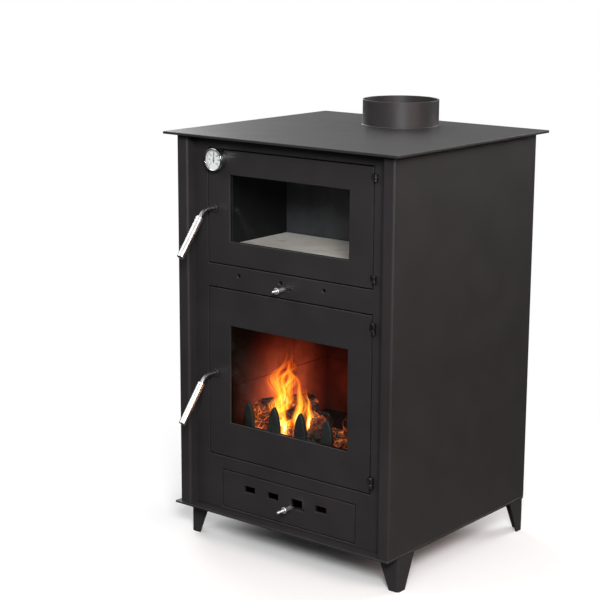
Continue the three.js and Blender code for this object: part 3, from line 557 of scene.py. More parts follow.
def lens_glass():
    """Thin clear watch glass: all but invisible save for its gloss."""
    look = Finish("Clear lens glass")
    smear = look.clouds((8, 3), 0.4, 0.7, 0.01, 0.08)
    return look.pane(0.015, smear, look.add("BsdfTransparent", ["#fbfcfc"]))


def flame():
    """Burning gas: light only, yellow-white in its core, orange round it and red where it thins,
    in streaks that rise. The map runs across a tongue and up it."""
    look = Finish("Wood flame")
    where = look.add("UVMap", uv_map="along")
    side, up = (look.add("SeparateXYZ", [where], axis) for axis in "XY")
    side = look.add("Math", (side, 2.0, -1.0), operation="MULTIPLY_ADD")
    side = look.add("Math", (side, 2.0), operation="POWER")
    core = look.add("Math", (1.0, side), operation="SUBTRACT")
    stretched = look.add("Mapping", {"Vector": where, "Scale": (5.0, 1.6, 1.0)})
    streak = look.add("TexNoise", {"Vector": stretched, "Scale": 2.2, "Detail": 4.0})
    streak = look.add("MapRange", (streak, 0.3, 0.7, 0.5, 1.2))
    firelight = look.add("MapRange", (up, 0.0, 1.0, 1.0, 0.25))
    for share in (streak, core):
        firelight = look.add("Math", (firelight, share), operation="MULTIPLY")
    colour = look.add("ValToRGB", [firelight])
    elements = colour.node.color_ramp.elements
    stops = {0.0: "#7a1604", 0.22: "#d8440a", 0.45: "#ff8c1c", 0.7: "#ffc24a", 0.95: "#fff0b8"}
    while len(elements) < len(stops):
        elements.new(0.5)
    for element, (at, code) in zip(elements, stops.items()):
        element.position, element.color = at, linear(code)
    seen = look.add("Math", (look.add("MapRange", (firelight, 0.06, 0.95)), 1.3), operation="POWER")
    dense = 0.62
    foot = look.add("MapRange", (up, 0.0, 0.06, 0.4 * dense, dense))
    seen = look.add("Math", (seen, foot), operation="MULTIPLY")
    glow = look.add("Emission", {"Color": colour, "Strength": 3.4})
    look.add("OutputMaterial", [look.add("MixShader", (seen, look.add("BsdfTransparent"), glow))])
    return look.made


def burning_wood():
    """Split firewood well alight: black char checked into small blocks, grey ash on its high
    spots, and an orange heat that gathers in patches and in the cracks near them."""
    look = Finish("Charred firewood")
    bend = look.add("TexNoise", look.cells(20, 3))
    bend = look.add("VectorMath", (bend, (0.012, 0.012, 0.012)), operation="MULTIPLY")
    bent = look.add("VectorMath", (look.place, bend))
    block = {"Vector": bent, "Scale": per(11), "Randomness": 0.85}
    crack = look.add("TexVoronoi", block, feature="DISTANCE_TO_EDGE")
    dark = look.add("MapRange", (crack, 0.0, 0.09, 0.7, 0.0))
    seams = look.add("MapRange", (crack, 0.0, 0.09, 0.85 + 0.22, 0.22))
    patches = look.clouds((46, 4, 0.6), 0.42, 0.62)
    glow = look.add("Math", (patches, seams), operation="MULTIPLY")
    ash = look.clouds((15, 6, 0.75), 0.46, 0.60)
    rough = look.add("TexNoise", look.cells(5, 5, 0.7))
    height = look.add("Math", (look.add("MapRange", (crack, 0.0, 0.2)), rough))
    colour = look.coats("#0e0a08", (ash, "#5c4a42"), (dark, "#050403"))
    return look.skin(colour, 0.95, height, 0.8, 2.0, (glow, 1.9, "#a01c06", "#ff8a34"))


def ember_bed():
    """A bed of charcoal: lumps of 10 to 20 mm under grey-white ash, with orange light in the gaps
    where it burns."""
    look = Finish("Charcoal embers")
    lump = {"Vector": look.place, "Scale": per(15)}
    lump = look.add("TexVoronoi", lump, feature="DISTANCE_TO_EDGE")
    gap = look.add("MapRange", (lump, 0.0, 0.16, 1.0, 0.2))
    glow = look.add("Math", (gap, look.clouds((50, 4, 0.6), 0.42, 0.64)), operation="MULTIPLY")
    colour = look.coats("#120d0b", (look.clouds((18, 5, 0.7), 0.42, 0.58), "#8d8178"))
    return look.skin(colour, 0.95, lump, 0.9, 4.0, (glow, 1.6, "#8a1604", "#ff9a44"))


def wood_ash():
    """Fine wood ash: pale grey powder with small charcoal crumbs in it."""
    look = Finish("Fine wood ash")
    crumb = look.add("TexVoronoi", {"Vector": look.place, "Scale": per(7)})
    crumb = look.add("MapRange", (crumb, 0.1, 0.2, 1.0, 0.0))
    crumb = look.add("Math", (crumb, look.clouds((16, 3), 0.5, 0.55)), operation="MULTIPLY")
    tone = look.add("TexNoise", look.cells(30, 4))
    colour = look.coats("#77736e", (tone, "#a8a39c"), (crumb, "#2a2725"))
    return look.skin(colour, 1.0, (3, 5, 0.7), 0.7, 0.8)


def dial_enamel():
    """Stove-enamelled tin dial: warm white with a faint yellowing towards its rim."""
    look = Finish("White dial enamel")
    middle = tuple(centre("thermometer_dial"))
    away = look.add("VectorMath", (look.place, middle), "Value", operation="DISTANCE")
    aged = look.add("MapRange", (away, 0.012, 0.022, 0.0, 0.6))
    spot = look.clouds((3, 4), 0.6, 0.75, 0.0, 0.2)
    return look.skin(look.coats("#ffffff", (aged, "#f1ecdf"), (spot, "#b5ab97")), 0.35)


def printing_ink(name, code):
    """Screen-printed enamel ink: flat, dark and slightly broken at its edges."""
    look = Finish(name)
    thin = look.clouds((0.9, 3), 0.55, 0.75, 0.0, 0.25)
    return look.skin(look.coats(code, (thin, "#5c5a58")), 0.5)


FINISHES = {
    "paint": lambda: stove_paint(bpy.context.scene.stove_colours),
    "inside": lambda: inner_steel("Heat-darkened sheet steel", "#1b1d20", "#2b2e31", 0.55),
    # The oven's side walls get near-black painted shade
    "oven": lambda: inner_steel("Blued oven steel", "#444548", "#5a5c60", 0.5, 0.96),
    "iron": cast_iron,
    "stone": refractory_stone,
    "brick": lambda: fire_brick(bpy.context.scene.stove_fire),
    "rope": glass_rope,
    "rod": lambda: drawn_steel("Drawn bright steel rod", "#a9abad", 0.26, 0.14),
    "chrome": lambda: drawn_steel("Polished chromed steel", "#e6e8ea", 0.07, 0.07),
    "grip": lambda: drawn_steel("Brushed stainless tube", "#f0f1f2", 0.22, 0.06),
    "zinc": lambda: drawn_steel("Zinc-plated screw steel", "#8d8f90", 0.34, 0.16),
    "hinge": lambda: drawn_steel("Blackened hinge steel", "#6a696b", 0.30, 0.12),
    "knob": lambda: drawn_steel("Satin nickelled steel", "#f1f1f1", 0.40, 0.12),
    "glass": door_glass,
    "lens": lens_glass,
    "enamel": dial_enamel,
    "ink": lambda: printing_ink("Black dial ink", "#141416"),
    "needle": lambda: printing_ink("Black needle lacquer", "#0f0f12"),
    "wood": burning_wood,
    "embers": ember_bed,
    "flame": flame,
    "ash": wood_ash,
}


@cache
def finish(name):
    """A finish by its short name, made on first use."""
    return FINISHES[name]()


# Sizes and colours that a user would change

paint_colour = partial(bpy.props.FloatVectorProperty, subtype="COLOR", size=4, min=0, max=1)
length = partial(bpy.props.FloatProperty, unit="LENGTH")
slope = partial(bpy.props.FloatProperty, unit="ROTATION")
position = partial(bpy.props.FloatVectorProperty, subtype="TRANSLATION", size=3)


class StoveColours(bpy.types.PropertyGroup):
    """Colours of the stove's paint."""

    paint_deep: paint_colour(
        name="Paint, deep", description="Paint colour in its darker clouds",
        default=linear("#282627"))
    paint_light: paint_colour(
        name="Paint, light", description="Paint colour in its lighter clouds",
        default=linear("#2d2b2c"))


class StoveFittings(bpy.types.PropertyGroup):
    """Sizes of the folded, turned and woven fittings."""

    sheet: length(name="Sheet", description="Thickness of the folded steel", default=0.003)
    bend: length(name="Bend", description="Outer radius of the side panels' folds", default=0.005)
    leg_bend: length(name="Leg bend", description="Outer radius of the legs' fold", default=0.006)
    leg_top: length(
        name="Leg top", description="Width of a leg's arms under the body", default=0.048)
    leg_foot: length(
        name="Leg foot", description="Width of a leg's arms on the floor", default=0.021)
    grip_radius: length(
        name="Grip radius", description="Radius of the handles' grips", default=0.007)
    rod_radius: length(name="Rod radius", description="Radius of the handles' rods", default=0.004)
    reach: length(
        name="Reach", description="How far a handle stands out before its corner", default=0.0326)
    drop: slope(name="Drop", description="How steeply a grip hangs", default=math.radians(51.3))
    neck: length(
        name="Neck", description="Bare rod between its corner and its grip", default=0.0166)
    grip_length: length(name="Grip length", description="Length of a grip", default=0.088)
    stitch: length(
        name="Stitch", description="Length of one stitch of the rope seals", default=0.007)


class StoveFire(bpy.types.PropertyGroup):
    """The fire behind the lower door."""

    heart: position(name="Heart", description="Middle of the fire", default=(-0.136, 0.082, 0.236))
    second_heart: position(
        name="Second heart", description="Middle of the weaker fire on the right",
        default=(0.092, 0.105, 0.230))
    # The bricks' glow is painted firelight, not light from a lamp
    glow_reach: length(
        name="Glow reach", description="How far the bricks glow round the heart", default=0.222)
    glow_strength: bpy.props.FloatProperty(
        name="Glow strength", description="Light of the glowing bricks", default=1.6, min=0)
    flame_height: length(
        name="Flame height", description="Height of the tallest flame", default=0.172)


class StoveStudio(bpy.types.PropertyGroup):
    """The camera."""

    lens: bpy.props.FloatProperty(
        name="Lens", description="Focal length on a 36 mm sensor", default=97.6, unit="CAMERA")
    place: position(
        name="Camera place", description="Where the camera stands",
        default=(1.8602, -2.4393, 1.1656))
    yaw: slope(
        name="Yaw", description="How far the camera looks to the left of straight back",
        default=math.radians(38.972))
    pitch: slope(
        name="Pitch", description="How far the camera looks down", default=math.radians(12.572))
    roll: slope(name="Roll", description="How far the camera leans", default=math.radians(0.264))


# Body


class STOVE_OT_body(bpy.types.Operator):
    """Dress the body's flat sheets and draw its two folded side panels"""

    bl_idname = "stove.body"
    bl_label = "Body"

    def execute(self, context):
        dress(("back_panel", "top_plate", "base_plate", "front_panel"), "paint", 0.7 * MM)
        self.fold(context.scene.stove_fittings, 1, "side_panel_right")
        self.fold(context.scene.stove_fittings, -1, "side_panel_left")
        self.screws()
        self.welds()
        return {"FINISHED"}

    def fold(self, sizes, side, name):
        """A side panel: its plan is the outer line of flange, wall and return, offset inwards by
        the sheet's thickness, with rounded folds, raised over the body's height."""
        low, high = corners(name)
        t, r = sizes.sheet, sizes.bend
        inner, outer = sorted((abs(low[0]), abs(high[0])))
        front, back = low[1], high[1]
        returned = front + 0.036
        outside = [(outer, back), (outer, front), (inner, front), (inner, returned)]
        face = front + t
        inside = [(inner + t, returned), (inner + t, face), (outer - t, face), (outer - t, back)]
        plan = np.vstack([softened(outside, r * 1.2, 8), softened(inside, (r - t) * 1.2, 8)])
        plan[:, 0] *= side
        shell(name + "_folded", [raised(plan, low[2], high[2])], "paint", name)

    def screws(self):
        """Pan-headed screws that hold the back panel: a column by each side, and two between."""
        low, high = corners("back_panel")
        inset, middle = 0.012, 0.12
        rows = np.linspace(low[2] + 0.03, high[2] - 0.05, 5)
        spots = [(x, z) for x in (low[0] + inset, high[0] - inset) for z in rows]
        spots += [(x, z) for x in (-middle, middle) for z in (rows[0], rows[-1])]
        screws("back_panel_screws", "stove_body", spots, high[1], 0.0042)

    def welds(self):
        """Short runs of weld where the top plate sits on the side panels, seen from below."""
        x = corners("side_panel_right")[1][0] + 0.0006
        z = corners("top_plate")[0][2] - 0.0007
        starts = [(side * x, y) for side in (1, -1) for y in np.linspace(-0.12, 0.2, 4)]
        runs = [bead([(a, y, z), (a, y + 0.03, z)], 0.0016) for a, y in starts]
        shell("top_plate_welds", runs, "paint", body="stove_body", slot="body_paint")


class STOVE_OT_legs(bpy.types.Operator):
    """Draw the four legs, folded from tapered sheet"""

    bl_idname = "stove.legs"
    bl_label = "Legs"

    def execute(self, context):
        for sy, end in ((1, "front"), (-1, "rear")):
            for sx, side in ((-1, "right"), (1, "left")):
                self.leg(context.scene.stove_fittings, f"leg_{end}_{side}", np.array([sx, sy]))
        return {"FINISHED"}

    def leg(self, sizes, name, inwards):
        """At each height the plan is an angle whose two arms shorten steadily from the body to the
        floor, with one rounded fold. A flat pad, welded in, closes it under the base plate."""
        low, high = corners(name)
        t, r, top = sizes.sheet, sizes.leg_bend, high[2]
        corner = np.where(inwards > 0, low[:2], high[:2])
        rows = []
        for level in np.linspace(0, 1, 5):
            w = sizes.leg_foot + (sizes.leg_top - sizes.leg_foot) * level
            outside = softened([(0, w), (0, 0), (w, 0)], r * 1.25, 8)
            inside = softened([(w, t), (t, t), (t, w)], (r - t) * 1.25, 8)
            plan = np.vstack([outside, inside]) * inwards + corner
            height = np.full(len(plan), low[2] + (top - low[2]) * level)
            rows.append(np.column_stack([plan, height]))
        near, far = t * 1.1, 0.041
        pad = np.array([(near, near), (far, near), (near, far)]) * inwards + corner
        pieces = [(np.stack(rows), (False, True))]
        pieces.append(raised(softened(pad, 0.002, 4, True), top - t, top - 0.0001))
        for run in ([(0.006, t), (0.038, t)], [(t, 0.006), (t, 0.038)]):
            path = np.column_stack([np.array(run) * inwards + corner, [top - t - 0.0004] * 2])
            pieces.append(bead(path, 0.0014))
        shell(name + "_folded", pieces, "paint", name)


class STOVE_OT_collar(bpy.types.Operator):
    """Draw the flue collar with its rolled rim and the weld round its foot"""

    bl_idname = "stove.collar"
    bl_label = "Flue collar"

    def execute(self, context):
        """A turned tube with a flange under the plate. The weld's radius ripples round it."""
        low, high = corners("flue_collar")
        middle = (low + high) / 2
        outer, wall, flange = 0.075, 0.003, high[0]
        plate_low, plate_high = corners("top_plate")
        under = plate_low[2] - 0.0003
        foot = under - 0.004
        profile = [
            (outer - wall, low[2]), (outer, low[2]), (outer, foot), (flange, foot),
            (flange, under), (outer, under), (outer, high[2]), (outer - wall, high[2]),
        ]
        tube = turned(softened(profile, 0.0009, 3, True), (0, middle[1], 0), UP, 128, True)
        angle = round_angles(420)
        swell = 0.0017 * (1 + 0.14 * np.abs(np.sin(angle * 70)) + 0.1 * np.sin(angle * 9))
        path = outer * np.stack([np.cos(angle), np.sin(angle), 0 * angle], -1)
        path += (0, middle[1], plate_high[2])
        seam = swept(path, round_section(1.0, 10) * swell[:, None, None], UP, True)
        shell("flue_collar_rolled", [tube, seam], "paint", "flue_collar")
        return {"FINISHED"}


# Doors


class STOVE_OT_doors(bpy.types.Operator):
    """Dress both doors' plates, glass and retainers, and draw their seals, screws and hinges"""

    bl_idname = "stove.doors"
    bl_label = "Doors"

    def execute(self, context):
        for door in ("oven", "fire"):
            dress([f"{door}_door_plate"], "paint", 0.6 * MM)
            dress([f"{door}_glass"], "glass", 0)
            dress([f"{door}_glass_retainer", f"{door}_door_frame"], "inside", 0.4 * MM)
            self.seal(context.scene.stove_fittings, f"{door}_door_seal")
            self.screws(door)
            for end in ("upper", "lower"):
                self.hinge(f"{door}_hinge_pin_{end}", f"{door}_hinge_sleeve_{end}")
        return {"FINISHED"}

    def seal(self, sizes, name):
        """A rope laid round the door: its path is a rectangle with round corners. The section is a
        rounded box whose radius carries two crossed spirals, as a knitted cover does."""
        low, high = corners(name)
        size = np.array([0.00325, (high[1] - low[1]) / 2])
        (x0, _, z0), (x1, _, z1) = low + size[0], high - size[0]
        y = (low[1] + high[1]) / 2
        loop = softened([(x0, y, z0), (x1, y, z0), (x1, y, z1), (x0, y, z1)], 0.012, 10, True)
        loop = even(np.vstack([loop, loop[:1]]), 0.0016)[:-1]
        turns = round(2 * (x1 - x0 + z1 - z0) / sizes.stitch)
        s = np.arange(len(loop))[:, None] / len(loop) * TURN * turns
        a = round_angles(20)
        weave = squared(a) * (0.90 + 0.10 * np.cos(4 * a - s) * np.cos(4 * a + s))
        section = np.clip(size * weave[..., None] * round_section(1.0, 20), -size, size)
        shell(name + "_rope", [swept(loop, section, BACK, True)], "rope", name, sharp=80)

    def screws(self, door):
        """Screws along the retainer's band, three on each long side and one on each short side."""
        low, high = corners(f"{door}_glass_retainer")
        band = 0.011
        xs = np.linspace(low[0] + 0.03, high[0] - 0.03, 3)
        spots = [(x, z) for x in xs for z in (low[2] + band, high[2] - band)]
        spots += [(x, (low[2] + high[2]) / 2) for x in (low[0] + band, high[0] - band)]
        screws(f"{door}_retainer_screws", f"{door}_door", spots, high[1], 0.0036)

    def hinge(self, pin, sleeve):
        """A lift-off hinge: a fixed knuckle with its pin and foot, and a sleeve on a strap. Both
        barrels are turned, with eased rims and a fine groove."""
        low, high = corners(pin)
        s_low, s_high = corners(sleeve)
        r, e, leaf, bare, bore = 0.004, 0.0006, 0.0019, 0.0019, 0.0023
        foot_back = -0.1773
        x, y = (low[0] + high[0]) / 2, low[1] + r
        split = s_low[2] - 0.0003
        foot, top, neck = low[2], high[2], split - e
        knuckle = [(0, foot), (r - e, foot), (r, foot + e), (r, neck), (r - e, split), (0, split)]
        rod = [(0, neck), (bare, neck), (bare, top - 0.0008), (0.0012, top), (0, top)]
        parts = [turned(profile, (x, y, 0), UP, 28) for profile in (knuckle, rod)]
        parts.append(box_surface((x - leaf, y, foot + e), (x + leaf, foot_back, neck)))
        shell(pin + "_turned", parts, "hinge", pin)
        a, b = s_low[2], s_high[2]
        groove = a + (b - a) * 0.8
        barrel = [
            (bore, a), (r - e, a), (r, a + e), (r, groove - e / 2), (r - e / 2, groove),
            (r, groove + e / 2), (r, b - e), (r - e, b), (bore, b),
        ]
        strap = box_surface((s_low[0], y, a), (s_low[0] + leaf, s_high[1], b))
        web = box_surface((s_low[0], y - leaf / 2, a), (x - 0.0024, y + leaf / 2, b))
        parts = [turned(barrel, (x, y, 0), UP, 28, True), strap, web]
        shell(sleeve + "_turned", parts, "hinge", sleeve)


class STOVE_OT_handles(bpy.types.Operator):
    """Draw both handles: bush, bent rod, polished grip, and the latch tongue inside"""

    bl_idname = "stove.handles"
    bl_label = "Handles"

    def execute(self, context):
        sizes = context.scene.stove_fittings
        down = np.array([0, -math.cos(sizes.drop), -math.sin(sizes.drop)])
        for door in ("oven", "fire"):
            middle = centre(f"{door}_handle_bush")
            middle[1] = corners(f"{door}_door_plate")[0][1]
            corner = middle - (0, sizes.reach, 0)
            self.bush(f"{door}_handle_bush", middle)
            self.rod(sizes, f"{door}_handle_rod", corner, down)
            self.grip(sizes, f"{door}_handle_grip", corner, down)
            dress([f"{door}_latch_tongue"], "rod", 0.4 * MM)
        return {"FINISHED"}

    def bush(self, name, middle):
        """A low collar on the door that the rod turns in, with an eased rim."""
        profile = [(0.0043, 0.0003), (0.008, 0.0003), (0.008, 0.0042), (0.0043, 0.0042)]
        ring = turned(softened(profile, 0.0009, 4, True), middle, FRONT, 36, True)
        shell(name + "_turned", [ring], "paint", name)

    def rod(self, sizes, name, corner, down):
        """A round section carried along a line that comes out of the door, rounds its corner and
        runs down into the grip."""
        back = np.array([corner[0], corners(name)[1][1], corner[2]])
        end = corner + down * (sizes.neck + 0.02)
        path = even(softened([back, corner, end], 0.013, 14), 0.0018)
        section = np.repeat(round_section(sizes.rod_radius, 24)[None], len(path), 0)
        section[0] *= 0.82
        shell(name + "_drawn", [swept(path, section, (1.0, 0, 0))], "rod", name)

    def grip(self, sizes, name, corner, down):
        """A turned tube with flat ends, a fine groove near each, and eased edges."""
        r, end, e = sizes.grip_radius, sizes.grip_length, 0.0006
        profile = [
            (0, 0.0012), (sizes.rod_radius - 0.0002, 0.0012), (r - 0.0016, 0.0009), (r - 0.0013, 0),
            (r - e, 0), (r, e), (r, 0.0052), (r - 0.0005, 0.0056), (r, 0.006),
            (r, end - 0.006), (r - 0.0005, end - 0.0056), (r, end - 0.0052), (r, end - e),
            (r - e, end), (r - 0.0014, end), (r - 0.0018, end - 0.0006), (0, end - 0.0006),
        ]
        tube = turned(profile, corner + down * sizes.neck, down, 56)
        shell(name + "_polished", [tube], "grip", name, sharp=28)


class STOVE_OT_thermometer(bpy.types.Operator):
    """Draw the oven thermometer: cup, bezel, printed dial, needle and lens"""

    bl_idname = "stove.thermometer"
    bl_label = "Thermometer"

    def execute(self, context):
        middle = centre("thermometer_bezel") * (1, 0, 1)
        self.cup(middle)
        self.bezel(middle)
        self.scale(middle + (0, self.dial(middle) - 0.00012, 0))
        self.lens(middle)
        dress(["thermometer_needle"], "needle", 0)
        dress(["thermometer_nut"], "zinc", 0.5 * MM)
        return {"FINISHED"}

    def cup(self, middle):
        """A spun cup with its stem through the door."""
        front, end = (corner[1] for corner in corners("thermometer_case"))
        back = corners("oven_door_plate")[0][1] - 0.0003
        r, stem, wall = 0.021, 0.004, 0.001
        profile = [
            (0, end), (stem, end), (stem, back), (r, back), (r, front), (r - wall, front),
            (r - wall, back - wall), (0, back - wall),
        ]
        cup = turned(softened(profile, 0.0004, 3), middle, BACK, 72)
        shell("thermometer_cup", [cup], "rod", "thermometer_case", slot="rod_steel")

    def bezel(self, middle):
        """A rolled ring: its section is a half round lip in front of a short sleeve."""
        low, high = corners("thermometer_bezel")
        r, front, back = (high[0] - low[0]) / 2, low[1], high[1]
        profile = [
            (r - 0.0033, front + 0.0007), (r - 0.0018, front), (r - 0.0005, front + 0.0006),
            (r, front + 0.002), (r, back), (r - 0.0007, back), (r - 0.0007, front + 0.001),
            (r - 0.0033, front + 0.0013),
        ]
        ring = turned(softened(profile, 0.0004, 3, True), middle, BACK, 96, True)
        shell("thermometer_bezel_rolled", [ring], "chrome", "thermometer_bezel")

    def dial(self, middle):
        """A thin disc on its boss, with a shallow dish to its rim. Gives back where its face is."""
        low, high = corners("thermometer_dial")
        r, face, boss, pin = (high[0] - low[0]) / 2, low[1] + 0.0012, 0.004, 0.0008
        rear = face + 0.0008
        profile = [
            (0, high[1]), (boss, high[1]), (boss, rear), (r, rear), (r, face),
            (r * 0.6, face + 0.0001), (pin, face), (pin, low[1]), (0, low[1]),
        ]
        disc = turned(profile, middle, BACK, 72)
        shell("thermometer_dial_face", [disc], "enamel", "thermometer_dial")
        return face

    def scale(self, middle):
        """A printed scale: 31 ticks over three quarters of a turn, every fifth one longer, and the
        numbers 0 to 300 inside them."""
        printed = {"body": "oven_door", "slot": "needle_black"}
        marks = []
        for i, angle in enumerate(np.radians(np.linspace(-135, 135, 31))):
            inner, outer, half = (0.0155, 0.0176, 0.00022) if i % 5 else (0.0135, 0.0178, 0.00042)
            out = np.array([math.sin(angle), 0, math.cos(angle)])
            side = np.array([math.cos(angle), 0, -math.sin(angle)]) * half
            near, far = out * inner, out * outer
            tick = middle + [near - side, near + side, far + side, far - side]
            marks.append((np.stack([tick, tick + (0, 0.0001, 0)]), (False, True)))
        shell("thermometer_scale", marks, "ink", sharp=20, **printed)
        for value, angle in zip(range(0, 301, 50), np.radians(np.linspace(-135, 135, 7))):
            text = bpy.data.curves.new("number", "FONT")
            text.body, text.size, text.extrude = str(value), 0.0036, 0.00003
            text.align_x = text.align_y = "CENTER"
            holder = bpy.data.objects.new("number", text)
            bpy.context.scene.collection.objects.link(holder)
            bpy.context.view_layer.update()
            mesh = bpy.data.meshes.new_from_object(holder)
            bpy.data.objects.remove(holder)
            points = np.empty(len(mesh.vertices) * 3, np.float32)
            mesh.vertices.foreach_get("co", points)
            x, y, z = points.reshape(-1, 3).T
            out = np.array([math.sin(angle), 0, math.cos(angle)]) * 0.0107
            upright = np.stack([x, -z, y], -1) + (middle + out)
            mesh.vertices.foreach_set("co", upright.astype(np.float32).ravel())
            mesh.update()
            mesh.materials.clear()
            settle(f"thermometer_number_{value}", mesh, "ink", **printed)

    def lens(self, middle):
        """A watch glass: a shallow dome whose rise falls with the square of the radius."""
        low, high = corners("thermometer_lens")
        r, rise = (high[0] - low[0]) / 2, 0.0009
        profile = [(r * s, low[1] - rise * (1 - s * s)) for s in np.linspace(0, 1, 9)]
        dome = turned(profile + [(r, high[1]), (0, high[1])], middle, BACK, 64)
        shell("thermometer_lens_domed", [dome], "lens", "thermometer_lens", sharp=60)


# Oven and firebox


class STOVE_OT_oven(bpy.types.Operator):
    """Dress the oven's box and its baking stone"""

    bl_idname = "stove.oven"
    bl_label = "Oven"

    def execute(self, context):
        dress(["oven_box"], "oven", 0.5 * MM)
        dress(["oven_stone"], "stone", 1.6 * MM)
        return {"FINISHED"}


class STOVE_OT_firebox(bpy.types.Operator):
    """Dress the hearth, grate, bricks, baffle and log guard"""

    bl_idname = "stove.firebox"
    bl_label = "Firebox"

    def execute(self, context):
        dress(["hearth_plate", "grate", "baffle_plate"], "iron", 1.0 * MM)
        dress(["log_guard"], "iron", 1.6 * MM)
        dress(["fire_brick_right", "fire_brick_left", "fire_brick_back"], "brick", 1.4 * MM)
        return {"FINISHED"}


# Two ends over the hearth, radius and seed of each log
LOGS = (
    ((-0.178, -0.084, 0.036), (0.028, -0.078, 0.036), 0.029, 11),
    ((-0.205, -0.010, 0.036), (-0.058, 0.030, 0.038), 0.031, 23),
    ((-0.164, -0.078, 0.076), (-0.094, 0.034, 0.078), 0.022, 37),
    ((0.040, -0.104, 0.070), (-0.078, -0.034, 0.084), 0.018, 41),
    ((-0.118, -0.106, 0.066), (-0.040, -0.084, 0.104), 0.010, 53),
    ((-0.030, 0.052, 0.036), (0.150, 0.034, 0.036), 0.031, 61),
    ((-0.026, 0.112, 0.034), (0.140, 0.122, 0.036), 0.028, 71),
    ((0.058, -0.020, 0.070), (0.074, 0.134, 0.086), 0.022, 83),
)

# Root's X, Y and height over the hearth, share of the tallest flame's height, width and phase
FLAMES = (
    (-0.078, -0.100, 0.040, 1.00, 0.040, 0.4),
    (-0.090, -0.088, 0.054, 0.70, 0.036, 2.6),
    (-0.064, -0.106, 0.040, 0.66, 0.030, 1.9),
    (-0.037, -0.098, 0.058, 0.72, 0.024, 4.0),
    (-0.018, -0.090, 0.066, 0.50, 0.015, 5.2),
    (-0.118, -0.040, 0.070, 0.66, 0.036, 1.2),
    (-0.150, 0.006, 0.068, 0.56, 0.030, 3.0),
    (-0.080, -0.094, 0.045, 0.52, 0.030, 5.0),
    (0.062, 0.050, 0.060, 0.72, 0.034, 0.9),
    (0.104, 0.084, 0.058, 0.56, 0.026, 2.2),
    (0.026, 0.100, 0.056, 0.60, 0.028, 4.6),
)


class STOVE_OT_fire(bpy.types.Operator):
    """Lay the fire on the grate that carries it: an ember bed, eight logs and the flames"""

    bl_idname = "stove.fire"
    bl_label = "Fire"

    def execute(self, context):
        floor = corners("hearth_plate")[1][2]
        self.embers(floor + 0.0004)
        for number, (first, last, radius, seed) in enumerate(LOGS, 1):
            ends = np.array([first, last]) + (0, 0, floor)
            self.log(f"log_{number}", *ends, radius, seed)
        tallest = context.scene.stove_fire.flame_height
        for number, (x, y, root, share, width, phase) in enumerate(FLAMES, 1):
            self.flame(f"flame_{number}", (x, y, floor + root), tallest * share, width, phase)
        return {"FINISHED"}

    def embers(self, floor):
        """A heap on the hearth: its height is a flattened bell over the plan plus lumps, and it
        runs out to nothing at its wavy rim."""
        radial = np.linspace(0, 1, 60)[:, None]
        angle = round_angles(120)[None]
        wave = radial * (1 + 0.1 * np.sin(3 * angle + 1) + 0.07 * np.sin(7 * angle + 2.4))
        middle_x, middle_y, half_width, half_depth, slant = -0.040, 0.010, 0.165, 0.115, 0.1
        x = middle_x + half_width * wave * np.cos(angle)
        y = middle_y + half_depth * wave * np.sin(angle) + slant * (x - middle_x)
        lumps = 0.5 + 0.5 * smooth_noise(np.stack([x, y, 0 * x], -1), 0.03, 5)
        height = (1 - radial**2.6) * (0.016 + 0.02 * lumps)
        heap("ember_bed", x, y, floor, height, "embers", "loose_grate", "fire_brick")

    def log(self, name, first, last, radius, seed):
        """A split log: a rounded wedge carried along a line, its radius roughened by bark ridges
        that run along it and by knots, and its ends domed and burnt back."""
        axis, side, other = across(last - first)
        s = np.linspace(0, 1, 90)[:, None]
        a = round_angles(64)[None]
        wedge = 1 - 0.16 * np.cos(3 * a + seed) - 0.07 * np.cos(5 * a + 2 * seed)
        ends = np.clip(1 - np.abs(2 * s - 1) ** 14, 0, 1) ** 0.5
        ring = np.cos(a)[..., None] * side + np.sin(a)[..., None] * other
        line = first + (last - first) * s[..., None] + 0 * a[..., None]
        ridge = smooth_noise(ring * 0.03 + 0 * line, 0.011, seed)
        knots = smooth_noise(line + ring * radius, 0.035, seed + 1)
        size = radius * wedge * ends * (1 + 0.08 * ridge + 0.09 * knots)
        grid = (line + ring * size[..., None], (False, True))
        shell(name, [grid], "wood", body="loose_grate", slot="fire_brick", sharp=180)

    def flame(self, name, root, height, width, phase):
        """A flame: thin ribbons crossed at angles. A ribbon's middle line sways as a sine of its
        height, and its width swells from the root and runs out to a point as
        sqrt(t) * (1 - t)^0.85."""
        t = np.linspace(0, 1, 40)[:, None]
        u = np.linspace(-1, 1, 13)[None]
        sway = width * 0.5 * t * np.sin(TURN * (t * 1.1) + phase)
        lean = width * 0.25 * t * np.sin(TURN * t * 2.3 + phase * 2)
        ragged = 1 + 0.18 * np.sin(9 * t + phase)
        half = width * 2.2 * np.sqrt(t + 0.03) * (1 - t) ** 0.85 * ragged
        out = sway + lean + u * half * 0.62
        rise = height * t + 0.006 * np.cos(3 * u) * (1 - t)
        ribbons = []
        for turn in np.radians((38, 98, -22)):
            ribbon = np.stack([out * math.cos(turn), out * math.sin(turn), rise], -1) + root
            ribbons.append((ribbon, (False, False)))
        across_and_up = np.stack([0.5 + u / 2 + 0 * t, t + 0 * u], -1).reshape(-1, 2)
        maps = np.vstack([across_and_up] * len(ribbons))
        piece = shell(name, ribbons, "flame", body="loose_grate", sharp=180, maps=maps)
        piece.visible_shadow = False


# Drawer and slides


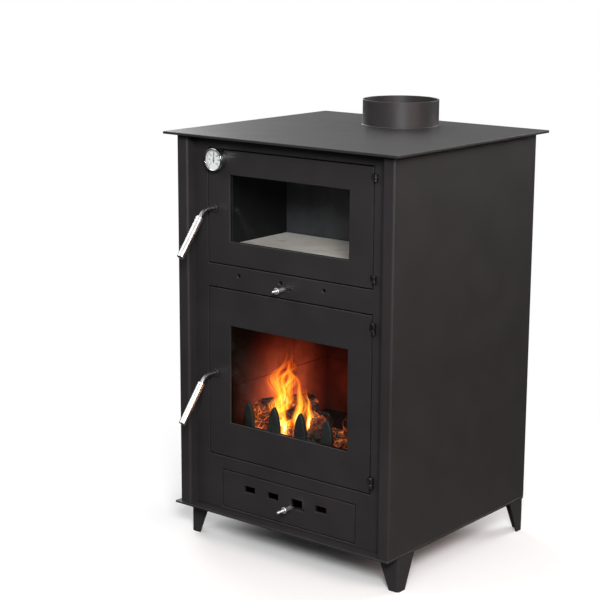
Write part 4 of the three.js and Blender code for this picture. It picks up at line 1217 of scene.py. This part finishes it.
class STOVE_OT_drawer(bpy.types.Operator):
    """Dress the ash drawer, its pan, runners and air slide, and draw its knob and the ash"""

    bl_idname = "stove.drawer"
    bl_label = "Ash drawer"

    def execute(self, context):
        dress(["ash_drawer_front"], "paint", 0.6 * MM)
        inside = ["ash_pan", "air_slide", "drawer_runner_right", "drawer_runner_left", "rail_slide"]
        dress(inside, "inside", 0.4 * MM)
        self.knob("air_slide_knob")
        self.knob("rail_slide_knob")
        self.ash()
        return {"FINISHED"}

    def ash(self):
        """The heap of ash that has fallen through the grate into the pan: its plan is a rectangle
        with very round corners, and it runs out to nothing at a ragged rim."""
        floor = corners("ash_pan")[0][2] + 0.0023
        grate = centre("grate")
        half_width, half_depth, forward = 0.128, 0.072, 0.010
        radial = np.linspace(0, 1, 56)[:, None]
        angle = round_angles(128)[None]
        ragged = 1 + 0.035 * np.sin(5 * angle + 1) + 0.025 * np.sin(11 * angle)
        reach = radial * squared(angle) * ragged
        x = grate[0] + half_width * reach * np.cos(angle)
        y = grate[1] - forward + half_depth * reach * np.sin(angle)
        plan = np.stack([x, y, 0 * x], -1)
        waves = 0.5 + 0.5 * smooth_noise(plan, 0.07, 8)
        lumps = 0.5 + 0.5 * smooth_noise(plan, 0.02, 4)
        height = (1 - radial**2) * (0.016 + 0.009 * waves + 0.003 * lumps)
        heap("ash_heap", x, y, floor, height, "ash", "ash_drawer", "refractory_stone")

    def knob(self, node):
        """A satin nickelled slide knob: a sleeve with a waist, a dished disc with a rounded rim and
        a bare threaded tip, turned round the stud that goes through the plate."""
        low, high = corners(node)
        front, middle = low[1], (low + high) / 2
        stud, sleeve, disc = 0.0022, 0.0042, 0.0062
        waist = sleeve * 0.9
        root = corners("front_panel")[0][1] - 0.0015 - front
        end = root - 0.021
        profile = [
            (0, high[1] - front), (stud, high[1] - front), (stud, root), (sleeve * 0.8, root),
            (sleeve, root - 0.0012), (sleeve, root - 0.007), (waist, root - 0.0078),
            (waist, root - 0.0138), (sleeve, root - 0.0146), (sleeve, root - 0.0155),
            (sleeve, end + 0.0012), (disc - 0.0006, end + 0.0004), (disc, end - 0.0004),
            (disc, end - 0.0019), (disc - 0.0006, end - 0.0026), (stud + 0.001, end - 0.0026),
            (stud, end - 0.0022),
        ]
        for step in np.arange(0, 0.0006 + end - 0.0035, 0.0011):
            profile += [(stud, end - 0.003 - step), (stud * 0.86, end - 0.0035 - step)]
        profile += [(stud * 0.9, 0.0006), (stud * 0.6, 0), (0, 0)]
        form = turned(profile, (middle[0], front, middle[2]), BACK, 40)
        shell(node + "_turned", [form], "knob", node, sharp=35)


# Stage

# Place, aim, power in watts, width and colour of each lamp
LAMPS = {
    "high_left": ((-1.6, -1.4, 2.6), (0, 0, 0.6), 18, 1.8, "#ffffff"),
    "right_fill": ((2.6, -0.5, 1.5), (0, 0, 0.4), 25, 1.6, "#ffdfd6"),
    "rear_right": ((1.3, 3.2, 1.9), (0, 0, 0.4), 55, 1.6, "#ffffff"),
    "rear_left": ((-2.6, 1.3, 1.7), (0, 0, 0.5), 34, 1.4, "#ffffff"),
    "front_right": ((1.95, -2.30, 1.85), (0, 0, 0.9), 104, 0.8, "#ffffff"),
}


class STOVE_OT_stage(bpy.types.Operator):
    """Set the floor, the lamps, the sky and the camera"""

    bl_idname = "stove.stage"
    bl_label = "Stage"

    def execute(self, context):
        self.floor(context.scene)
        self.sky(context.scene)
        self.lamps(context.scene)
        self.camera(context.scene)
        context.scene.view_settings.view_transform = "Standard"
        return {"FINISHED"}

    def floor(self, scene):
        """A pale disc that runs out to white, so that only the stove's shadow shows on it."""
        rings, sides = 40, 64
        radial = np.linspace(0, 1.25, rings)[:, None, None]
        rim = np.column_stack([round_section(1.0, sides), np.zeros(sides)])
        faces = grid_faces(rings, sides, (False, True))[:, ::-1]
        mesh = bpy.data.meshes.new("studio_floor")
        mesh.from_pydata((radial * rim).reshape(-1, 3).tolist(), [], faces.tolist())
        floor = bpy.data.objects.new("studio_floor", mesh)
        scene.collection.objects.link(floor)
        look = Finish("Pale studio floor")
        origin = (0.0, 0.0, 0.0)
        away = look.add("VectorMath", (look.place, origin), "Value", operation="DISTANCE")
        edge = look.add("MapRange", (away, 0.36, 1.0))
        ray = look.add("LightPath", out="Is Camera Ray")
        colour = look.coats("#5e5b59", (ray, "#fafafa"))
        matt = {"Base Color": colour, "Roughness": 0.9, "Specular IOR Level": 0.1}
        white = look.add("Emission", {"Color": "#ffffff", "Strength": ray})
        beyond = look.add("MixShader", (ray, look.add("BsdfTransparent"), white))
        whole = look.add("MixShader", (edge, look.add("BsdfPrincipled", matt), beyond))
        look.add("OutputMaterial", [whole])
        mesh.materials.append(look.made)

    def sky(self, scene):
        """A soft room: bright above, dim below. The camera, metal and glass see its white walls."""
        look = Finish("Soft white room", "worlds", "Generated")
        x, z = (look.add("SeparateXYZ", [look.place], axis) for axis in "XZ")
        above = look.add("MapRange", (z, -0.10, 0.62, 0.02, 1.0))
        leftward = look.add("MapRange", (x, -0.9, 0.5, 0.90, 0.62))
        above = look.add("Math", (above, leftward), operation="MULTIPLY")
        lit = look.add("Math", (above, 0.58), operation="MULTIPLY")
        rays = ("Camera", "Transmission", "Glossy")
        camera, glass, metal = (look.add("LightPath", out=f"Is {ray} Ray") for ray in rays)
        seen = look.add("Math", (camera, glass), operation="MAXIMUM")
        strength = look.add("Mix", {0: metal, 2: lit, 3: above})
        strength = look.add("Mix", {0: seen, 2: strength, 3: 1.0})
        look.add("OutputWorld", [look.add("Background", ("#ffffff", strength))])
        scene.world = look.made

    def lamps(self, scene):
        """Soft lamps: a large one high on the left, a warmer one on the right, two for the back,
        and a small one beside the camera that draws the folds and the collar."""
        for name, (place, aim, power, size, colour) in LAMPS.items():
            data = bpy.data.lights.new(name, "AREA")
            data.energy, data.size, data.color = power, size, linear(colour)[:3]
            lamp = bpy.data.objects.new(name, data)
            scene.collection.objects.link(lamp)
            x, y, z = np.array(aim) - place
            lamp.visible_camera = False
            lamp.location = place
            lamp.rotation_euler = (math.atan2(math.hypot(x, y), -z), 0, math.atan2(-x, y))

    def camera(self, scene):
        """The camera stands at its place, turned by its yaw, tipped down from level by its pitch
        and leant by its roll."""
        studio = scene.stove_studio
        data = bpy.data.cameras.new("photo_camera")
        data.lens, data.sensor_width, data.clip_end = studio.lens, 36, 50
        camera = bpy.data.objects.new("photo_camera", data)
        scene.collection.objects.link(camera)
        yaw, lean = (Matrix.Rotation(angle, 4, "Z") for angle in (studio.yaw, studio.roll))
        tip = Matrix.Rotation(math.pi / 2 - studio.pitch, 4, "X")
        camera.matrix_world = Matrix.Translation(studio.place) @ yaw @ tip @ lean
        scene.camera = camera


class STOVE_PT_panel(bpy.types.Panel):
    """Shows the stove's settings and its steps in the sidebar"""

    bl_label = "Stove"
    bl_idname = "STOVE_PT_panel"
    bl_space_type = "VIEW_3D"
    bl_region_type = "UI"
    bl_category = "Stove"

    def draw(self, context):
        for group in GROUPS:
            settings = getattr(context.scene, group)
            box = self.layout.box()
            for name in settings.__annotations__:
                box.prop(settings, name)
        for operator in OPERATORS:
            self.layout.operator(operator.bl_idname)


GROUPS = {
    "stove_colours": StoveColours,
    "stove_fittings": StoveFittings,
    "stove_fire": StoveFire,
    "stove_studio": StoveStudio,
}

OPERATORS = (
    STOVE_OT_stage,
    STOVE_OT_body,
    STOVE_OT_legs,
    STOVE_OT_collar,
    STOVE_OT_doors,
    STOVE_OT_handles,
    STOVE_OT_thermometer,
    STOVE_OT_oven,
    STOVE_OT_firebox,
    STOVE_OT_fire,
    STOVE_OT_drawer,
)


def register():
    for name, group in GROUPS.items():
        bpy.utils.register_class(group)
        setattr(bpy.types.Scene, name, bpy.props.PointerProperty(type=group))
    for entry in (*OPERATORS, STOVE_PT_panel):
        bpy.utils.register_class(entry)


def unregister():
    for entry in reversed((*OPERATORS, STOVE_PT_panel)):
        bpy.utils.unregister_class(entry)
    for name, group in reversed(GROUPS.items()):
        delattr(bpy.types.Scene, name)
        bpy.utils.unregister_class(group)


def main():
    register()
    for name in (operator.bl_idname.split(".")[1] for operator in OPERATORS):
        getattr(bpy.ops.stove, name)()


if __name__ == "__main__":
    main()
